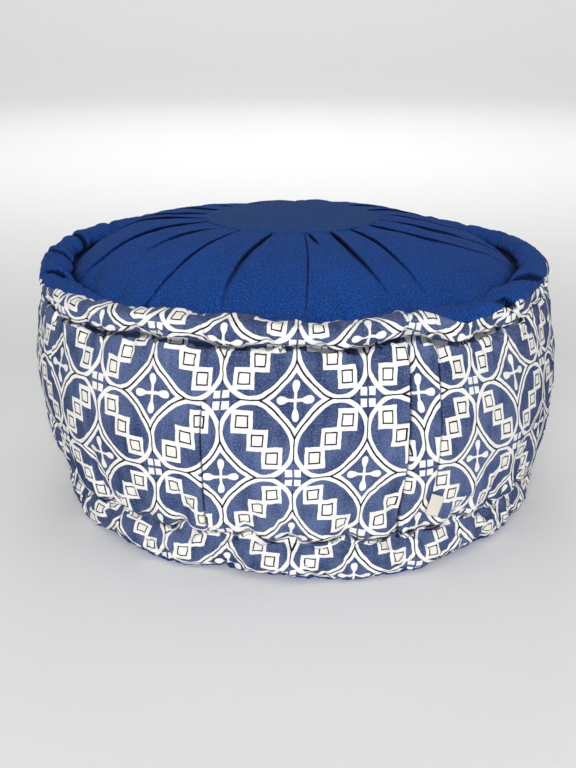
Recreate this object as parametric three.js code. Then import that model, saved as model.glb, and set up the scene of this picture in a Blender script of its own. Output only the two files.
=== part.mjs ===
// A round zafu meditation cushion with rolled edges: a low drum, packed full, 380 mm across and 206 mm
// high at its crown. The plain cotton top is pleated under a round centre patch and runs out over a
// rolled edge, where it meets the printed side band. The band is drawn in by hand stitching under the
// top roll and over the bottom roll, takes up its fullness in upright tucks, and carries a small sewn
// label. A plain base panel closes the underside. Each panel's solid holds its share of the filling,
// so the three big solids together are the filled cushion.
//
// Millimetres, +Z up. The origin is on the floor under the middle of the cushion. Azimuths are in
// degrees, 0 at the front (-Y) and growing to the right (+X).

import * as THREE from "three";

// Driving dimensions
const GAP = 0.3; // clearance between neighbouring pieces

const CROWN_HEIGHT = 204; // top panel's middle, under the patch
const PATCH_RADIUS = 62;
const PATCH_THICKNESS = 2;
const PATCH_MARGIN = 0.6; // the crown stays smooth this far past the patch's edge
const PATCH_DROP = 4; // how much lower the crown lies at the patch's edge than in the middle
const GULLY = { radius: 161, height: 165.5 }; // the channel between the crown and the top roll
const CROWN_LEAN = 2.5; // the filling stands this much higher on the left half of the crown

const TOP_ROLL = { radius: 172.5, height: 167.5, halfWidth: 11, halfHeight: 9.5, seamAngle: 50 };
const LOW_ROLL = { radius: 168, height: 13.5, halfWidth: 13, halfHeight: 13.5, seamAngle: -48 };
const CHANNEL_DEPTH = 2.5; // extra draw of the stitched channels at a gather

// The side between the two stitched channels, from the top channel down.
const SIDE = [
  { radius: 180.2, height: 158.5 },
  { radius: 183.2, height: 150 },
  { radius: 187, height: 134 },
  { radius: 190, height: 112 },
  { radius: 189.8, height: 90 },
  { radius: 187.4, height: 68 },
  { radius: 184, height: 48 },
  { radius: 179.4, height: 29.5 },
];
const SIDE_ROWS = 11; // rows of faces down the side

const BASE_GULLY = { radius: 148, height: 5 };
const BASE_FLAT_RADIUS = 138; // the part of the base that lies flat on the floor

// Sideways drift of the whole section, from the floor up to the crown: the cushion leans a little.
const LEAN = { atFloor: 3, atCrown: -3.2, forward: 1.2 };

// The pleats of the top panel, 18 round the patch. Each row: how far the fold line strays from its
// even place, how deep its crease is at the patch, and how far out to the gully it runs (1 is all the way).
const PLEAT_STEP = 20;
const FIRST_PLEAT = 7.5;
const PLEATS = [
  { stray: 0, depth: 2.6, reach: 1 },
  { stray: -4.5, depth: 5.5, reach: 0.9 },
  { stray: -9, depth: 5, reach: 0.9 },
  { stray: 1, depth: 3, reach: 0.9 },
  { stray: 2, depth: 3, reach: 1 },
  { stray: -2, depth: 4.5, reach: 0.7 },
  { stray: 1, depth: 5, reach: 1 },
  { stray: 0, depth: 3.5, reach: 0.85 },
  { stray: 2, depth: 5, reach: 0.7 },
  { stray: -1, depth: 4.5, reach: 1 },
  { stray: 1, depth: 3.5, reach: 0.8 },
  { stray: -2, depth: 5, reach: 1 },
  { stray: 0, depth: 4, reach: 1 },
  { stray: 1, depth: 4.5, reach: 1 },
  { stray: 0, depth: 5.5, reach: 1 },
  { stray: 0, depth: 3.2, reach: 0.55 },
  { stray: -1, depth: 4, reach: 1 },
  { stray: -0.5, depth: 5.5, reach: 0.62 },
];
const PLEAT_HALF_WIDTH = 2.6; // degrees, from a fold line to the top of the cloth beside it
const LOBE_RISE = 1.6; // how far the cloth swells between two fold lines
const FOLD_STEP = 0.9; // the cloth lies this much higher on the side that laps over

// Upright tucks and soft creases in the side band: where, how deep, and between which heights.
const TUCKS = [
  { azimuth: 22.3, depth: 3, top: 160, bottom: 30 },
  { azimuth: 29, depth: 2, top: 158, bottom: 96 },
  { azimuth: -17.2, depth: 2.4, top: 104, bottom: 26 },
  { azimuth: -62, depth: 2, top: 158, bottom: 80 },
  { azimuth: -101, depth: 2.6, top: 160, bottom: 30 },
  { azimuth: -148, depth: 2, top: 110, bottom: 28 },
  { azimuth: 170, depth: 2.4, top: 160, bottom: 60 },
  { azimuth: 121, depth: 2.6, top: 158, bottom: 28 },
  { azimuth: 74, depth: 1.8, top: 105, bottom: 28 },
];
const TUCK_HALF_WIDTH = 2; // degrees

// The top roll wanders: how far it rises at an azimuth, how far the seam turns over it in degrees,
// how much deeper the channel under it is drawn in, and how far its crest is pressed down.
const TOP_WANDER = [
  { azimuth: -165, rise: 0.5, turn: 0, draw: 0.5, sag: 0 },
  { azimuth: -120, rise: 2, turn: 4, draw: 1, sag: 0 },
  { azimuth: -90, rise: 1, turn: -4, draw: 2.5, sag: 0 },
  { azimuth: -60, rise: -4, turn: 22, draw: 1.5, sag: 3 },
  { azimuth: -43, rise: -1, turn: 45, draw: 1, sag: 5.5 },
  { azimuth: -30, rise: 2.6, turn: 47, draw: 0.5, sag: 5.8 },
  { azimuth: -6, rise: 2.2, turn: 44, draw: 0, sag: 5.8 },
  { azimuth: 11, rise: -1, turn: 45, draw: 0.5, sag: 5.6 },
  { azimuth: 21, rise: 2.4, turn: 42, draw: 1, sag: 5 },
  { azimuth: 35, rise: -5.4, turn: -34, draw: 2, sag: 1 },
  { azimuth: 50, rise: -3.4, turn: -24, draw: 2, sag: 0.5 },
  { azimuth: 68, rise: -1, turn: -6, draw: 4, sag: 0 },
  { azimuth: 90, rise: 1.5, turn: 4, draw: 4, sag: 0 },
  { azimuth: 130, rise: 0, turn: -4, draw: 1.5, sag: 0 },
  { azimuth: 165, rise: -1, turn: 0, draw: 0.5, sag: 0 },
];

// How far the bottom roll swells out or is drawn in at an azimuth.
const LOW_WANDER = [
  { azimuth: -160, out: -1 },
  { azimuth: -110, out: -4 },
  { azimuth: -70, out: -5.5 },
  { azimuth: -45, out: -4 },
  { azimuth: -29, out: -2.5 },
  { azimuth: -19, out: -8.5 },
  { azimuth: -9, out: -3 },
  { azimuth: 5, out: 0 },
  { azimuth: 26, out: 1.5 },
  { azimuth: 38, out: -3 },
  { azimuth: 50, out: -3 },
  { azimuth: 66, out: -6 },
  { azimuth: 100, out: -4 },
  { azimuth: 150, out: -1 },
];

const LABEL = { azimuth: 28.7, middle: 46.5, width: 10, height: 15, thickness: 1, clearance: 0.5, turn: 18 };

// Angles

const radians = THREE.MathUtils.degToRad;

/** The signed angle from `b` to `a`, between -180 and 180 degrees. */
const apart = (a, b) => THREE.MathUtils.euclideanModulo(a - b + 180, 360) - 180;

/** 1 on a fold line, falling straight to 0 at its half width on both sides. */
const fold = (azimuth, line, halfWidth) => Math.max(0, 1 - Math.abs(apart(azimuth, line)) / halfWidth);

const pleatLines = PLEATS.map((pleat, i) => FIRST_PLEAT + i * PLEAT_STEP + pleat.stray);

/** Azimuths of the faces' edges all round: on and beside every fold line, with even steps between. */
function columnAzimuths(widestStep) {
  const lines = [
    ...pleatLines.map((line) => [line, PLEAT_HALF_WIDTH]),
    ...TUCKS.map((tuck) => [tuck.azimuth, TUCK_HALF_WIDTH]),
  ];
  const nearest = 0.8; // edges closer than this would make slivers
  const onLines = lines.map(([line]) => THREE.MathUtils.euclideanModulo(line, 360));
  const beside = lines.flatMap(([line, half]) => [line - half, line + half]);
  const edges = [...onLines];
  for (const azimuth of beside) {
    const turned = THREE.MathUtils.euclideanModulo(azimuth, 360);
    if (edges.every((edge) => Math.abs(apart(edge, turned)) > nearest)) edges.push(turned);
  }
  edges.sort((a, b) => a - b);
  return edges.flatMap((edge, i) => {
    const next = i + 1 < edges.length ? edges[i + 1] : edges[0] + 360;
    const steps = Math.ceil((next - edge) / widestStep);
    return Array.from({ length: steps }, (_, k) => edge + ((next - edge) * k) / steps);
  });
}

/** Smooth value round the cushion of one column of a wander table. */
function wander(rows, azimuth, column) {
  const turned = THREE.MathUtils.euclideanModulo(azimuth - rows[0].azimuth, 360) + rows[0].azimuth;
  const after = rows.findIndex((row) => row.azimuth > turned);
  const next = after < 0 ? { ...rows[0], azimuth: rows[0].azimuth + 360 } : rows[after];
  const last = after < 0 ? rows[rows.length - 1] : rows[after - 1];
  const share = (turned - last.azimuth) / (next.azimuth - last.azimuth);
  return THREE.MathUtils.lerp(last[column], next[column], THREE.MathUtils.smoothstep(share, 0, 1));
}

/** How strongly a gather pulls at this azimuth, 0 to 1: one at every pleat line. */
const gather = (azimuth) =>
  Math.max(...pleatLines.map((line) => fold(azimuth, line, PLEAT_HALF_WIDTH)));

/** Soft lumps of the filling, between about -1 and 1. */
const lumps = (azimuth) =>
  0.6 * Math.sin(radians(3 * azimuth + 40)) + 0.4 * Math.sin(radians(7 * azimuth - 65));

// Sections: each returns points { radius, height } at one azimuth

/** Height of the crown at a radius, before pleats: a dome that steepens towards the gully. */
function domeHeight(radius) {
  if (radius <= PATCH_RADIUS) return CROWN_HEIGHT - PATCH_DROP * (radius / PATCH_RADIUS) ** 2;
  const share = (radius - PATCH_RADIUS) / (GULLY.radius - PATCH_RADIUS);
  const drop = CROWN_HEIGHT - PATCH_DROP - GULLY.height;
  return CROWN_HEIGHT - PATCH_DROP - drop * (0.22 * share + 0.78 * share ** 3);
}

/** How much the pleats raise or lower the crown. */
function pleatRelief(azimuth, radius) {
  const out = (radius - PATCH_RADIUS) / (GULLY.radius - PATCH_RADIUS);
  if (out < 0) return 0;
  let nearest = 0;
  pleatLines.forEach((line, i) => {
    if (Math.abs(apart(azimuth, line)) < Math.abs(apart(azimuth, pleatLines[nearest]))) nearest = i;
  });
  const pleat = PLEATS[nearest];
  const offset = apart(azimuth, pleatLines[nearest]);
  const fade = THREE.MathUtils.clamp(1 - out / pleat.reach, 0, 1);
  const swell = LOBE_RISE * Math.sin(Math.PI * Math.min(1, Math.abs(offset) / (PLEAT_STEP / 2)) * 0.5);
  const lap = offset > 0 ? FOLD_STEP * Math.exp(-offset / 4) : 0;
  const open = fold(azimuth, pleatLines[nearest], PLEAT_HALF_WIDTH);
  return (swell + lap) * (1 - 0.7 * out) - open * pleat.depth * (0.2 + 0.8 * fade);
}

/** A point on the top roll; `angle` is in degrees round its own section, 0 at its outermost. */
function topRollPoint(azimuth, angle) {
  const squeeze = 1 - 0.16 * gather(azimuth);
  const lift = wander(TOP_WANDER, azimuth, "rise");
  const up = Math.sin(radians(angle));
  const sag = wander(TOP_WANDER, azimuth, "sag") * Math.max(0, up);
  return {
    radius: TOP_ROLL.radius + TOP_ROLL.halfWidth * squeeze * Math.cos(radians(angle)),
    height: TOP_ROLL.height + lift + TOP_ROLL.halfHeight * squeeze * up - sag,
  };
}

/** A point on the bottom roll. */
function lowRollPoint(azimuth, angle) {
  const squeeze = 1 - 0.12 * gather(azimuth + PLEAT_STEP / 2);
  const below = Math.sin(radians(angle)) < 0;
  const middle = LOW_ROLL.radius + wander(LOW_WANDER, azimuth, "out");
  return {
    radius: middle + LOW_ROLL.halfWidth * squeeze * Math.cos(radians(angle)),
    height: LOW_ROLL.height + LOW_ROLL.halfHeight * (below ? 1 : squeeze) * Math.sin(radians(angle)),
  };
}

const sideCurve = new THREE.SplineCurve(SIDE.map((s) => new THREE.Vector2(s.radius, s.height)));

/** A point on the side band, `share` of the way from the top channel to the bottom one. */
function sidePoint(azimuth, share, withTucks = true) {
  const { x: radius, y: height } = sideCurve.getPoint(share);
  const middle = Math.sin(Math.PI * share);
  const nearTop = 1 - THREE.MathUtils.smoothstep(share, 0, 0.12);
  const nearLow = THREE.MathUtils.smoothstep(share, 0.9, 1);
  const draw = CHANNEL_DEPTH * (nearTop * gather(azimuth) + nearLow * gather(azimuth + PLEAT_STEP / 2));
  let sunk = 0;
  for (const tuck of withTucks ? TUCKS : []) {
    const ends = 12; // a tuck runs out over this height
    const inside =
      THREE.MathUtils.smoothstep(height, tuck.bottom - ends, tuck.bottom) *
      (1 - THREE.MathUtils.smoothstep(height, tuck.top, tuck.top + ends));
    sunk = Math.max(sunk, tuck.depth * inside * fold(azimuth, tuck.azimuth, TUCK_HALF_WIDTH));
  }
  const lowOut = wander(LOW_WANDER, azimuth, "out") * share ** 14;
  const topDraw = wander(TOP_WANDER, azimuth, "draw") * Math.exp(-share / 0.09);
  return {
    radius: radius + 1.2 * lumps(azimuth) * middle + lowOut - topDraw - draw - sunk,
    height: height + wander(TOP_WANDER, azimuth, "rise") * (1 - share) ** 2,
  };
}

/** Rows from the seam of the top roll in to the middle, where the top panel lies on the band. */
function upperJoin(azimuth, side) {
  const seam = TOP_ROLL.seamAngle + wander(TOP_WANDER, azimuth, "turn") + side * 1.2;
  const shift = side * GAP * 0.55;
  const lift = wander(TOP_WANDER, azimuth, "rise");
  return [
    topRollPoint(azimuth, seam),
    { radius: TOP_ROLL.radius - 2 - shift, height: TOP_ROLL.height + lift - 4 + shift },
    { radius: TOP_ROLL.radius - 18 - shift, height: TOP_ROLL.height - 15 + shift },
    { radius: 90, height: TOP_ROLL.height - 18 + shift },
    { radius: 0, height: TOP_ROLL.height - 18 + shift },
  ];
}

/** Rows from the seam of the bottom roll in to the middle, where the band lies on the base panel. */
function lowerJoin(azimuth, side) {
  const seam = LOW_ROLL.seamAngle + side * 0.9;
  const shift = side * GAP * 0.55;
  const middle = LOW_ROLL.radius + wander(LOW_WANDER, azimuth, "out");
  return [
    lowRollPoint(azimuth, seam),
    { radius: middle - 4 + shift, height: LOW_ROLL.height + 1 + shift },
    { radius: middle - 20 + shift, height: LOW_ROLL.height + 5 + shift },
    { radius: 80, height: LOW_ROLL.height + 6 + shift },
    { radius: 0, height: LOW_ROLL.height + 6 + shift },
  ];
}

/** Angles from one to another in equal steps, ends left out where asked. */
const between = (from, to, steps) => Array.from({ length: steps }, (_, i) => from + ((to - from) * (i + 1)) / steps);

function topPanelSection(azimuth) {
  const underPatch = [0, 0.5, 1].map((share) => {
    const radius = share * (PATCH_RADIUS + PATCH_MARGIN);
    return { radius, height: domeHeight(radius) };
  });
  const crown = [0.03, 0.12, 0.24, 0.37, 0.5, 0.64, 0.78, 0.9, 1].map((share) => {
    const radius = PATCH_RADIUS + share * (GULLY.radius - PATCH_RADIUS);
    const lean = CROWN_LEAN * -Math.sin(radians(azimuth)) * Math.sin(Math.PI * share) ** 2;
    const nearGully = wander(TOP_WANDER, azimuth, "rise") * share ** 4;
    return { radius, height: domeHeight(radius) + pleatRelief(azimuth, radius) + lean + nearGully };
  });
  const seam = TOP_ROLL.seamAngle + wander(TOP_WANDER, azimuth, "turn") + 1.2;
  const roll = between(190, seam, 5).slice(0, -1).map((angle) => topRollPoint(azimuth, angle));
  return [...underPatch, ...crown, ...roll, ...upperJoin(azimuth, 1)];
}

function sideBandSection(azimuth) {
  const seam = TOP_ROLL.seamAngle + wander(TOP_WANDER, azimuth, "turn") - 1.2;
  const topRoll = between(seam, -48, 4).map((angle) => topRollPoint(azimuth, angle));
  const side = [0, ...between(0, 1, SIDE_ROWS)].map((share) => sidePoint(azimuth, share));
  const lowRoll = between(62, LOW_ROLL.seamAngle + 0.9, 5).slice(0, -1);
  return [
    ...upperJoin(azimuth, -1).reverse(),
    ...topRoll,
    ...side,
    lowRollPoint(azimuth, 62),
    ...lowRoll.map((angle) => lowRollPoint(azimuth, angle)),
    ...lowerJoin(azimuth, 1),
  ];
}

function basePanelSection(azimuth) {
  const roll = between(LOW_ROLL.seamAngle - 0.9, -168, 5).map((angle) => lowRollPoint(azimuth, angle));
  const floor = [
    { radius: BASE_GULLY.radius, height: BASE_GULLY.height },
    { radius: BASE_FLAT_RADIUS, height: 0 },
    { radius: 70, height: 0 },
    { radius: 0, height: 0 },
  ];
  return [...lowerJoin(azimuth, -1).reverse(), ...roll, ...floor];
}

function patchSection() {
  const stations = [0, 0.5, 0.98, 1];
  const upper = stations.map((share) => ({
    radius: share * PATCH_RADIUS,
    height: domeHeight(share * PATCH_RADIUS) + GAP + PATCH_THICKNESS * (share < 1 ? 1 : 0.6),
  }));
  const under = stations
    .map((share) => ({ radius: share * PATCH_RADIUS, height: domeHeight(share * PATCH_RADIUS) + GAP }))
    .reverse();
  return [...upper, ...under];
}

// Solids

/** The point of the cushion at an azimuth, radius and height, with the lean added. */
function place(azimuth, { radius, height }) {
  const share = height / CROWN_HEIGHT;
  const lean = THREE.MathUtils.lerp(LEAN.atFloor, LEAN.atCrown, share);
  const forward = THREE.MathUtils.lerp(LEAN.forward, -LEAN.forward, share);
  const angle = radians(azimuth);
  return new THREE.Vector3(radius * Math.sin(angle) + lean, -radius * Math.cos(angle) - forward, height);
}

/** A closed solid swept round the axis from sections that start and end on it. */
function sweptRound(section, azimuths) {
  const sections = azimuths.map(section);
  const rows = sections[0].length;
  const vertices = [];
  const add = (point) => vertices.push(point.x, point.y, point.z) / 3 - 1;
  const top = add(place(0, sections[0][0]));
  const rings = [];
  for (let row = 1; row < rows - 1; row += 1) {
    rings.push(azimuths.map((azimuth, i) => add(place(azimuth, sections[i][row]))));
  }
  const bottom = add(place(0, sections[0][rows - 1]));
  // Every face's diagonal runs the same way from the outer row, so that two joined solids match.
  const inward = rings.map((_, row) => sections[0][row + 1].radius > sections[0][row + 2].radius);
  const faces = [];
  azimuths.forEach((_, i) => {
    const next = (i + 1) % azimuths.length;
    faces.push(top, rings[0][i], rings[0][next]);
    for (let row = 0; row + 1 < rings.length; row += 1) {
      const [upper, lower] = [rings[row], rings[row + 1]];
      if (inward[row]) faces.push(upper[i], lower[i], lower[next], upper[i], lower[next], upper[next]);
      else faces.push(upper[i], lower[i], upper[next], upper[next], lower[i], lower[next]);
    }
    const last = rings[rings.length - 1];
    faces.push(bottom, last[next], last[i]);
  });
  const geometry = new THREE.BufferGeometry();
  geometry.setAttribute("position", new THREE.Float32BufferAttribute(vertices, 3));
  geometry.setIndex(faces);
  geometry.computeVertexNormals();
  return geometry;
}

/** The label: a small bent plate whose back follows the side band just clear of it. */
function labelGeometry() {
  const box = new THREE.BoxGeometry(1, 1, 1, 2, 4, 1);
  box.deleteAttribute("normal");
  box.deleteAttribute("uv");
  const position = box.getAttribute("position");
  const [cos, sin] = [Math.cos(radians(LABEL.turn)), Math.sin(radians(LABEL.turn))];
  for (let i = 0; i < position.count; i += 1) {
    const [across, up] = [position.getX(i) * LABEL.width, position.getY(i) * LABEL.height];
    const along = across * cos + up * sin;
    const azimuth = LABEL.azimuth + THREE.MathUtils.radToDeg(along / SIDE[5].radius);
    const height = LABEL.middle + up * cos - across * sin;
    const { radius } = sidePoint(azimuth, shareAtHeight(azimuth, height), false);
    const out = LABEL.clearance + (position.getZ(i) + 0.5) * LABEL.thickness;
    const point = place(azimuth, { radius: radius + out, height });
    position.setXYZ(i, point.x, point.y, point.z);
  }
  return box;
}

/** How far down the side band a height is reached, found by halving. */
function shareAtHeight(azimuth, height) {
  let [low, high] = [0, 1];
  for (let i = 0; i < 24; i += 1) {
    const middle = (low + high) / 2;
    if (sidePoint(azimuth, middle, false).height > height) low = middle;
    else high = middle;
  }
  return (low + high) / 2;
}

// Finishes

const cloth = (color) => new THREE.MeshStandardMaterial({ color, roughness: 0.9, metalness: 0 });
const plainCotton = cloth(0x22447f);
const patchCotton = cloth(0x2f456e);
const printedCotton = cloth(0xaaadbe);
const baseCotton = cloth(0x22447f);
const labelTape = cloth(0xe9e4d8);

// The cushion

const cushion = new THREE.Group();
cushion.name = "zafu_cushion";

/** Adds one named piece to the cushion. */
function addPiece(name, geometry, material) {
  const piece = new THREE.Mesh(geometry, material);
  piece.name = name;
  cushion.add(piece);
}

const azimuths = columnAzimuths(6.2);

addPiece("top_panel", sweptRound(topPanelSection, azimuths), plainCotton);
addPiece("side_band", sweptRound(sideBandSection, azimuths), printedCotton);
addPiece("base_panel", sweptRound(basePanelSection, azimuths), baseCotton);
addPiece("centre_patch", sweptRound(patchSection, azimuths), patchCotton);
addPiece("side_label", labelGeometry(), labelTape);

export default cushion;
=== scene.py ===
"""A round zafu meditation cushion with rolled edges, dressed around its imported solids.

A plain indigo top is pleated under a round centre patch and sewn along the crest of the top roll to
a printed side band. The band is drawn in by hand stitching under the top roll and over the bottom
roll, takes up its fullness in upright tucks and carries a small bare tape label.

Sizes are in millimetres and azimuths in degrees, 0 at the front (-Y) and growing to the right (+X),
until a mesh is made, which is in metres.
"""

from __future__ import annotations

import logging
import math
from dataclasses import dataclass, field
from enum import Enum
from typing import Sequence

import bpy
import numpy as np
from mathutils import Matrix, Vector

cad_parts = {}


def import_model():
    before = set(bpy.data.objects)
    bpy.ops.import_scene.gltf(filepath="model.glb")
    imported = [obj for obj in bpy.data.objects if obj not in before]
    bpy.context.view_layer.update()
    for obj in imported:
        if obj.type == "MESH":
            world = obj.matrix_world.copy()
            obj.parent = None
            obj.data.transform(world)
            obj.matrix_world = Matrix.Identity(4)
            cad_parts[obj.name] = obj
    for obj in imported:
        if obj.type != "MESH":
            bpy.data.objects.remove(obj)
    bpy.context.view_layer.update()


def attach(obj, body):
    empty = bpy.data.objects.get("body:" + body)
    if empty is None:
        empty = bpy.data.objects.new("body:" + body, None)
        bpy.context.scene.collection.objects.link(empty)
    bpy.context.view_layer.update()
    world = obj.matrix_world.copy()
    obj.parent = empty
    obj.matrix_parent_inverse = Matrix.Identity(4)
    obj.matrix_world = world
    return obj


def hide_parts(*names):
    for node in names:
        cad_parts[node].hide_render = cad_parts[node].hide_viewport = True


LOG = logging.getLogger("zafu")
MM = 0.001
COLUMNS = 720  # edges round the cushion
BODY = "root"
SIDE_RADIUS = 186.0  # where distances round the side are measured
Array = np.ndarray
AZIMUTHS = np.arange(COLUMNS) * 360.0 / COLUMNS - 180.0


# Curves and noise shared by the cloth pieces


def smooth(share: Array) -> Array:
    """Ease from 0 to 1 with flat ends; values outside are held."""
    x = np.clip(share, 0.0, 1.0)
    return x * x * (3.0 - 2.0 * x)


def apart(azimuth: Array, line: Array) -> Array:
    """Signed angle from line to azimuth, from -180 to 180 degrees."""
    return (azimuth - line + 180.0) % 360.0 - 180.0


def off_front(azimuth: Array) -> Array:
    """How far an azimuth is from the front either way, in degrees."""
    return np.abs(azimuth - 360.0 * np.round(azimuth / 360.0))


def round_table(rows: Sequence[tuple[float, float]], azimuth: Array) -> Array:
    """Read a table of values round the cushion with eased steps between its rows.

    Args:
        rows: Pairs of azimuth and value, by growing azimuth over one turn.
        azimuth: Where to read it, in degrees.

    Returns:
        The value at each azimuth.
    """
    marks = np.array([row[0] for row in rows] + [rows[0][0] + 360.0])
    values = np.array([row[1] for row in rows] + [rows[0][1]])
    turned = (azimuth - marks[0]) % 360.0 + marks[0]
    last = np.clip(np.searchsorted(marks, turned, side="right") - 1, 0, len(rows) - 1)
    share = (turned - marks[last]) / (marks[last + 1] - marks[last])
    return values[last] + (values[last + 1] - values[last]) * smooth(share)


def through(points: Sequence[tuple[float, float]], share: Array) -> tuple[Array, Array]:
    """Follow an even Catmull-Rom curve through points.

    Args:
        points: Pairs of radius and height.
        share: How far along, 0 at the first point and 1 at the last.

    Returns:
        Radius and height at each share.
    """
    knots = np.array(points)
    spans = len(knots) - 1
    place = np.clip(share, 0.0, 1.0) * spans
    i = np.minimum(place.astype(int), spans - 1)
    t = (place - i)[..., None]
    p1, p2 = knots[i], knots[i + 1]
    p0, p3 = knots[np.maximum(i - 1, 0)], knots[np.minimum(i + 2, spans)]
    v0, v1 = (p2 - p0) * 0.5, (p3 - p1) * 0.5
    out = (2 * p1 - 2 * p2 + v0 + v1) * t**3 + (-3 * p1 + 3 * p2 - 2 * v0 - v1) * t**2 + v0 * t + p1
    return out[..., 0], out[..., 1]


def soft_noise(x: Array, y: Array, seed: int, octaves: int = 3) -> Array:
    """Smooth repeatable noise from about -1 to 1, one lump per unit of x or y.

    Args:
        x: First coordinate.
        y: Second coordinate.
        seed: Picks the pattern.
        octaves: How many finer layers are added.

    Returns:
        The noise at each point.
    """
    rng = np.random.default_rng(seed)
    total = np.zeros(np.broadcast(x, y).shape)
    for octave in range(octaves):
        for _ in range(7):
            turn = rng.uniform(0.0, 2.0 * math.pi)
            rate = 2.0**octave * rng.uniform(0.7, 1.3) * math.pi
            phase = rng.uniform(0.0, 2.0 * math.pi)
            wave = np.sin(rate * (x * math.cos(turn) + y * math.sin(turn)) + phase)
            total += wave * 0.5**octave / 3.2
    return total


# The cushion's form, with the same values as its solids


@dataclass(frozen=True)
class Roll:
    """A stitched roll round an edge: the middle and half sizes of its section, in millimetres."""

    radius: float
    height: float
    half_width: float
    half_height: float
    seam_angle: float

    def point(self, angle: Array, squeeze: Array | float = 1.0) -> tuple[Array, Array]:
        """Radius and height at an angle round the section, 0 at its outermost."""
        turn = np.radians(angle)
        radius = self.radius + self.half_width * squeeze * np.cos(turn)
        return radius, self.height + self.half_height * squeeze * np.sin(turn)


@dataclass(frozen=True)
class CushionForm:
    """The smooth form under the cloth's folds, in millimetres and degrees."""

    crown_height: float = 204.0
    patch_radius: float = 62.0
    patch_drop: float = 4.0
    gully_radius: float = 161.0
    gully_height: float = 165.5
    crown_lean: float = 2.5
    patch_tip: float = 1.6
    back_sink: float = 2.8
    top_roll: Roll = Roll(radius=172.5, height=167.5, half_width=11.0, half_height=9.5, seam_angle=50.0)
    low_roll: Roll = Roll(radius=168.0, height=13.5, half_width=13.0, half_height=13.5, seam_angle=-48.0)
    side: tuple[tuple[float, float], ...] = (
        (180.2, 158.5),
        (183.2, 150.0),
        (187.0, 134.0),
        (190.0, 112.0),
        (189.8, 90.0),
        (187.4, 68.0),
        (184.0, 48.0),
        (179.4, 29.5),
    )
    base_flat_radius: float = 138.0
    lean_at_floor: float = 3.0
    lean_at_crown: float = -3.2
    lean_forward: float = 1.2
    # Rows of azimuth and how much higher the top roll lies there.
    top_rise: tuple[tuple[float, float], ...] = (
        (-165, -3.0),
        (-140, 0.0),
        (-120, 1.0),
        (-90, 0.5),
        (-60, -4.0),
        (-43, -1.0),
        (-30, 2.6),
        (-6, 2.2),
        (11, -1.0),
        (21, 2.4),
        (35, -5.4),
        (50, -3.4),
        (68, -1.0),
        (90, 0.5),
        (130, -3.0),
        (165, -4.0),
    )
    # How far the seam on the top roll turns from its usual angle, in degrees.
    seam_turn: tuple[tuple[float, float], ...] = (
        (-165, -10.0),
        (-120, -25.0),
        (-92, -42.0),
        (-76, -43.0),
        (-68, -34.0),
        (-59, 4.0),
        (-50, 36.0),
        (-43, 45.0),
        (-30, 47.0),
        (-6, 44.0),
        (11, 45.0),
        (21, 42.0),
        (35, -34.0),
        (50, -22.0),
        (62, -36.0),
        (72, -24.0),
        (90, -6.0),
        (130, -8.0),
        (165, -6.0),
    )
    # How much lower the channel under the top roll sags.
    channel_low: tuple[tuple[float, float], ...] = (
        (-165, 2.5),
        (-75, 2.0),
        (-56, 3.0),
        (-45, 5.0),
        (-36, 3.8),
        (-12, 4.2),
        (0, 2.4),
        (10, 2.8),
        (22, 1.5),
        (35, 2.8),
        (65, 3.0),
        (120, 2.5),
    )
    # How much lower the top roll's crest lies.
    top_sag: tuple[tuple[float, float], ...] = (
        (-165, 0.0),
        (-120, 0.0),
        (-90, 0.0),
        (-60, 3.0),
        (-43, 5.5),
        (-30, 5.8),
        (-6, 5.8),
        (11, 5.6),
        (21, 5.0),
        (35, 1.0),
        (50, 0.5),
        (68, 0.0),
        (90, 0.0),
        (130, 0.0),
        (165, 0.0),
    )
    # How far the side is drawn in under the top roll.
    top_draw: tuple[tuple[float, float], ...] = (
        (-165, 0.5),
        (-120, 1.0),
        (-90, 2.5),
        (-60, 1.5),
        (-43, 1.0),
        (-30, 0.5),
        (-6, 0.0),
        (11, 0.5),
        (21, 1.0),
        (35, 2.0),
        (50, 2.0),
        (68, 4.0),
        (90, 4.0),
        (130, 1.5),
        (165, 0.5),
    )
    # How far the bottom roll stands out past its usual radius.
    low_out: tuple[tuple[float, float], ...] = (
        (-160, -1.0),
        (-110, -4.0),
        (-70, -5.5),
        (-45, -4.0),
        (-29, -2.5),
        (-19, -8.5),
        (-9, -3.0),
        (5, 0.0),
        (26, 1.5),
        (38, -3.0),
        (50, -3.0),
        (66, -6.0),
        (100, -4.0),
        (150, -1.0),
    )

    def crown(self, azimuth: Array, radius: Array) -> Array:
        """Height of the crown, before its pleats.

        Args:
            azimuth: In degrees.
            radius: Distance from the middle, in millimetres.

        Returns:
            The height in millimetres.
        """
        share = np.clip((radius - self.patch_radius) / (self.gully_radius - self.patch_radius), 0.0, 1.0)
        inner = self.crown_height - self.patch_drop * np.minimum(radius / self.patch_radius, 1.0) ** 2
        drop = self.crown_height - self.patch_drop - self.gully_height
        fall = drop * (0.22 * share + 0.78 * share**3)
        lean = self.crown_lean * -np.sin(np.radians(azimuth)) * np.sin(math.pi * share) ** 2
        sunk = self.back_sink * np.exp(-((apart(azimuth, np.array(-152.0)) / 27.0) ** 2))
        fall = fall + sunk * np.sin(math.pi * np.minimum(share / 0.8, 1.0))
        tip = self.patch_tip * np.minimum(radius / self.patch_radius, 1.0) * (1.0 - smooth(share / 0.8))
        rise = round_table(self.top_rise, azimuth) * share**4
        return inner - fall + lean + tip * np.cos(np.radians(azimuth)) + rise

    def on_top_roll(self, azimuth: Array, angle: Array) -> tuple[Array, Array]:
        """Radius and height on the top roll at an azimuth and an angle round its section."""
        radius, height = self.top_roll.point(angle)
        sag = round_table(self.top_sag, azimuth) * np.maximum(np.sin(np.radians(angle)), 0.0)
        sag = sag + round_table(self.channel_low, azimuth) * smooth((40.0 - angle) / 90.0)
        return radius, height + round_table(self.top_rise, azimuth) - sag

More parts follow.
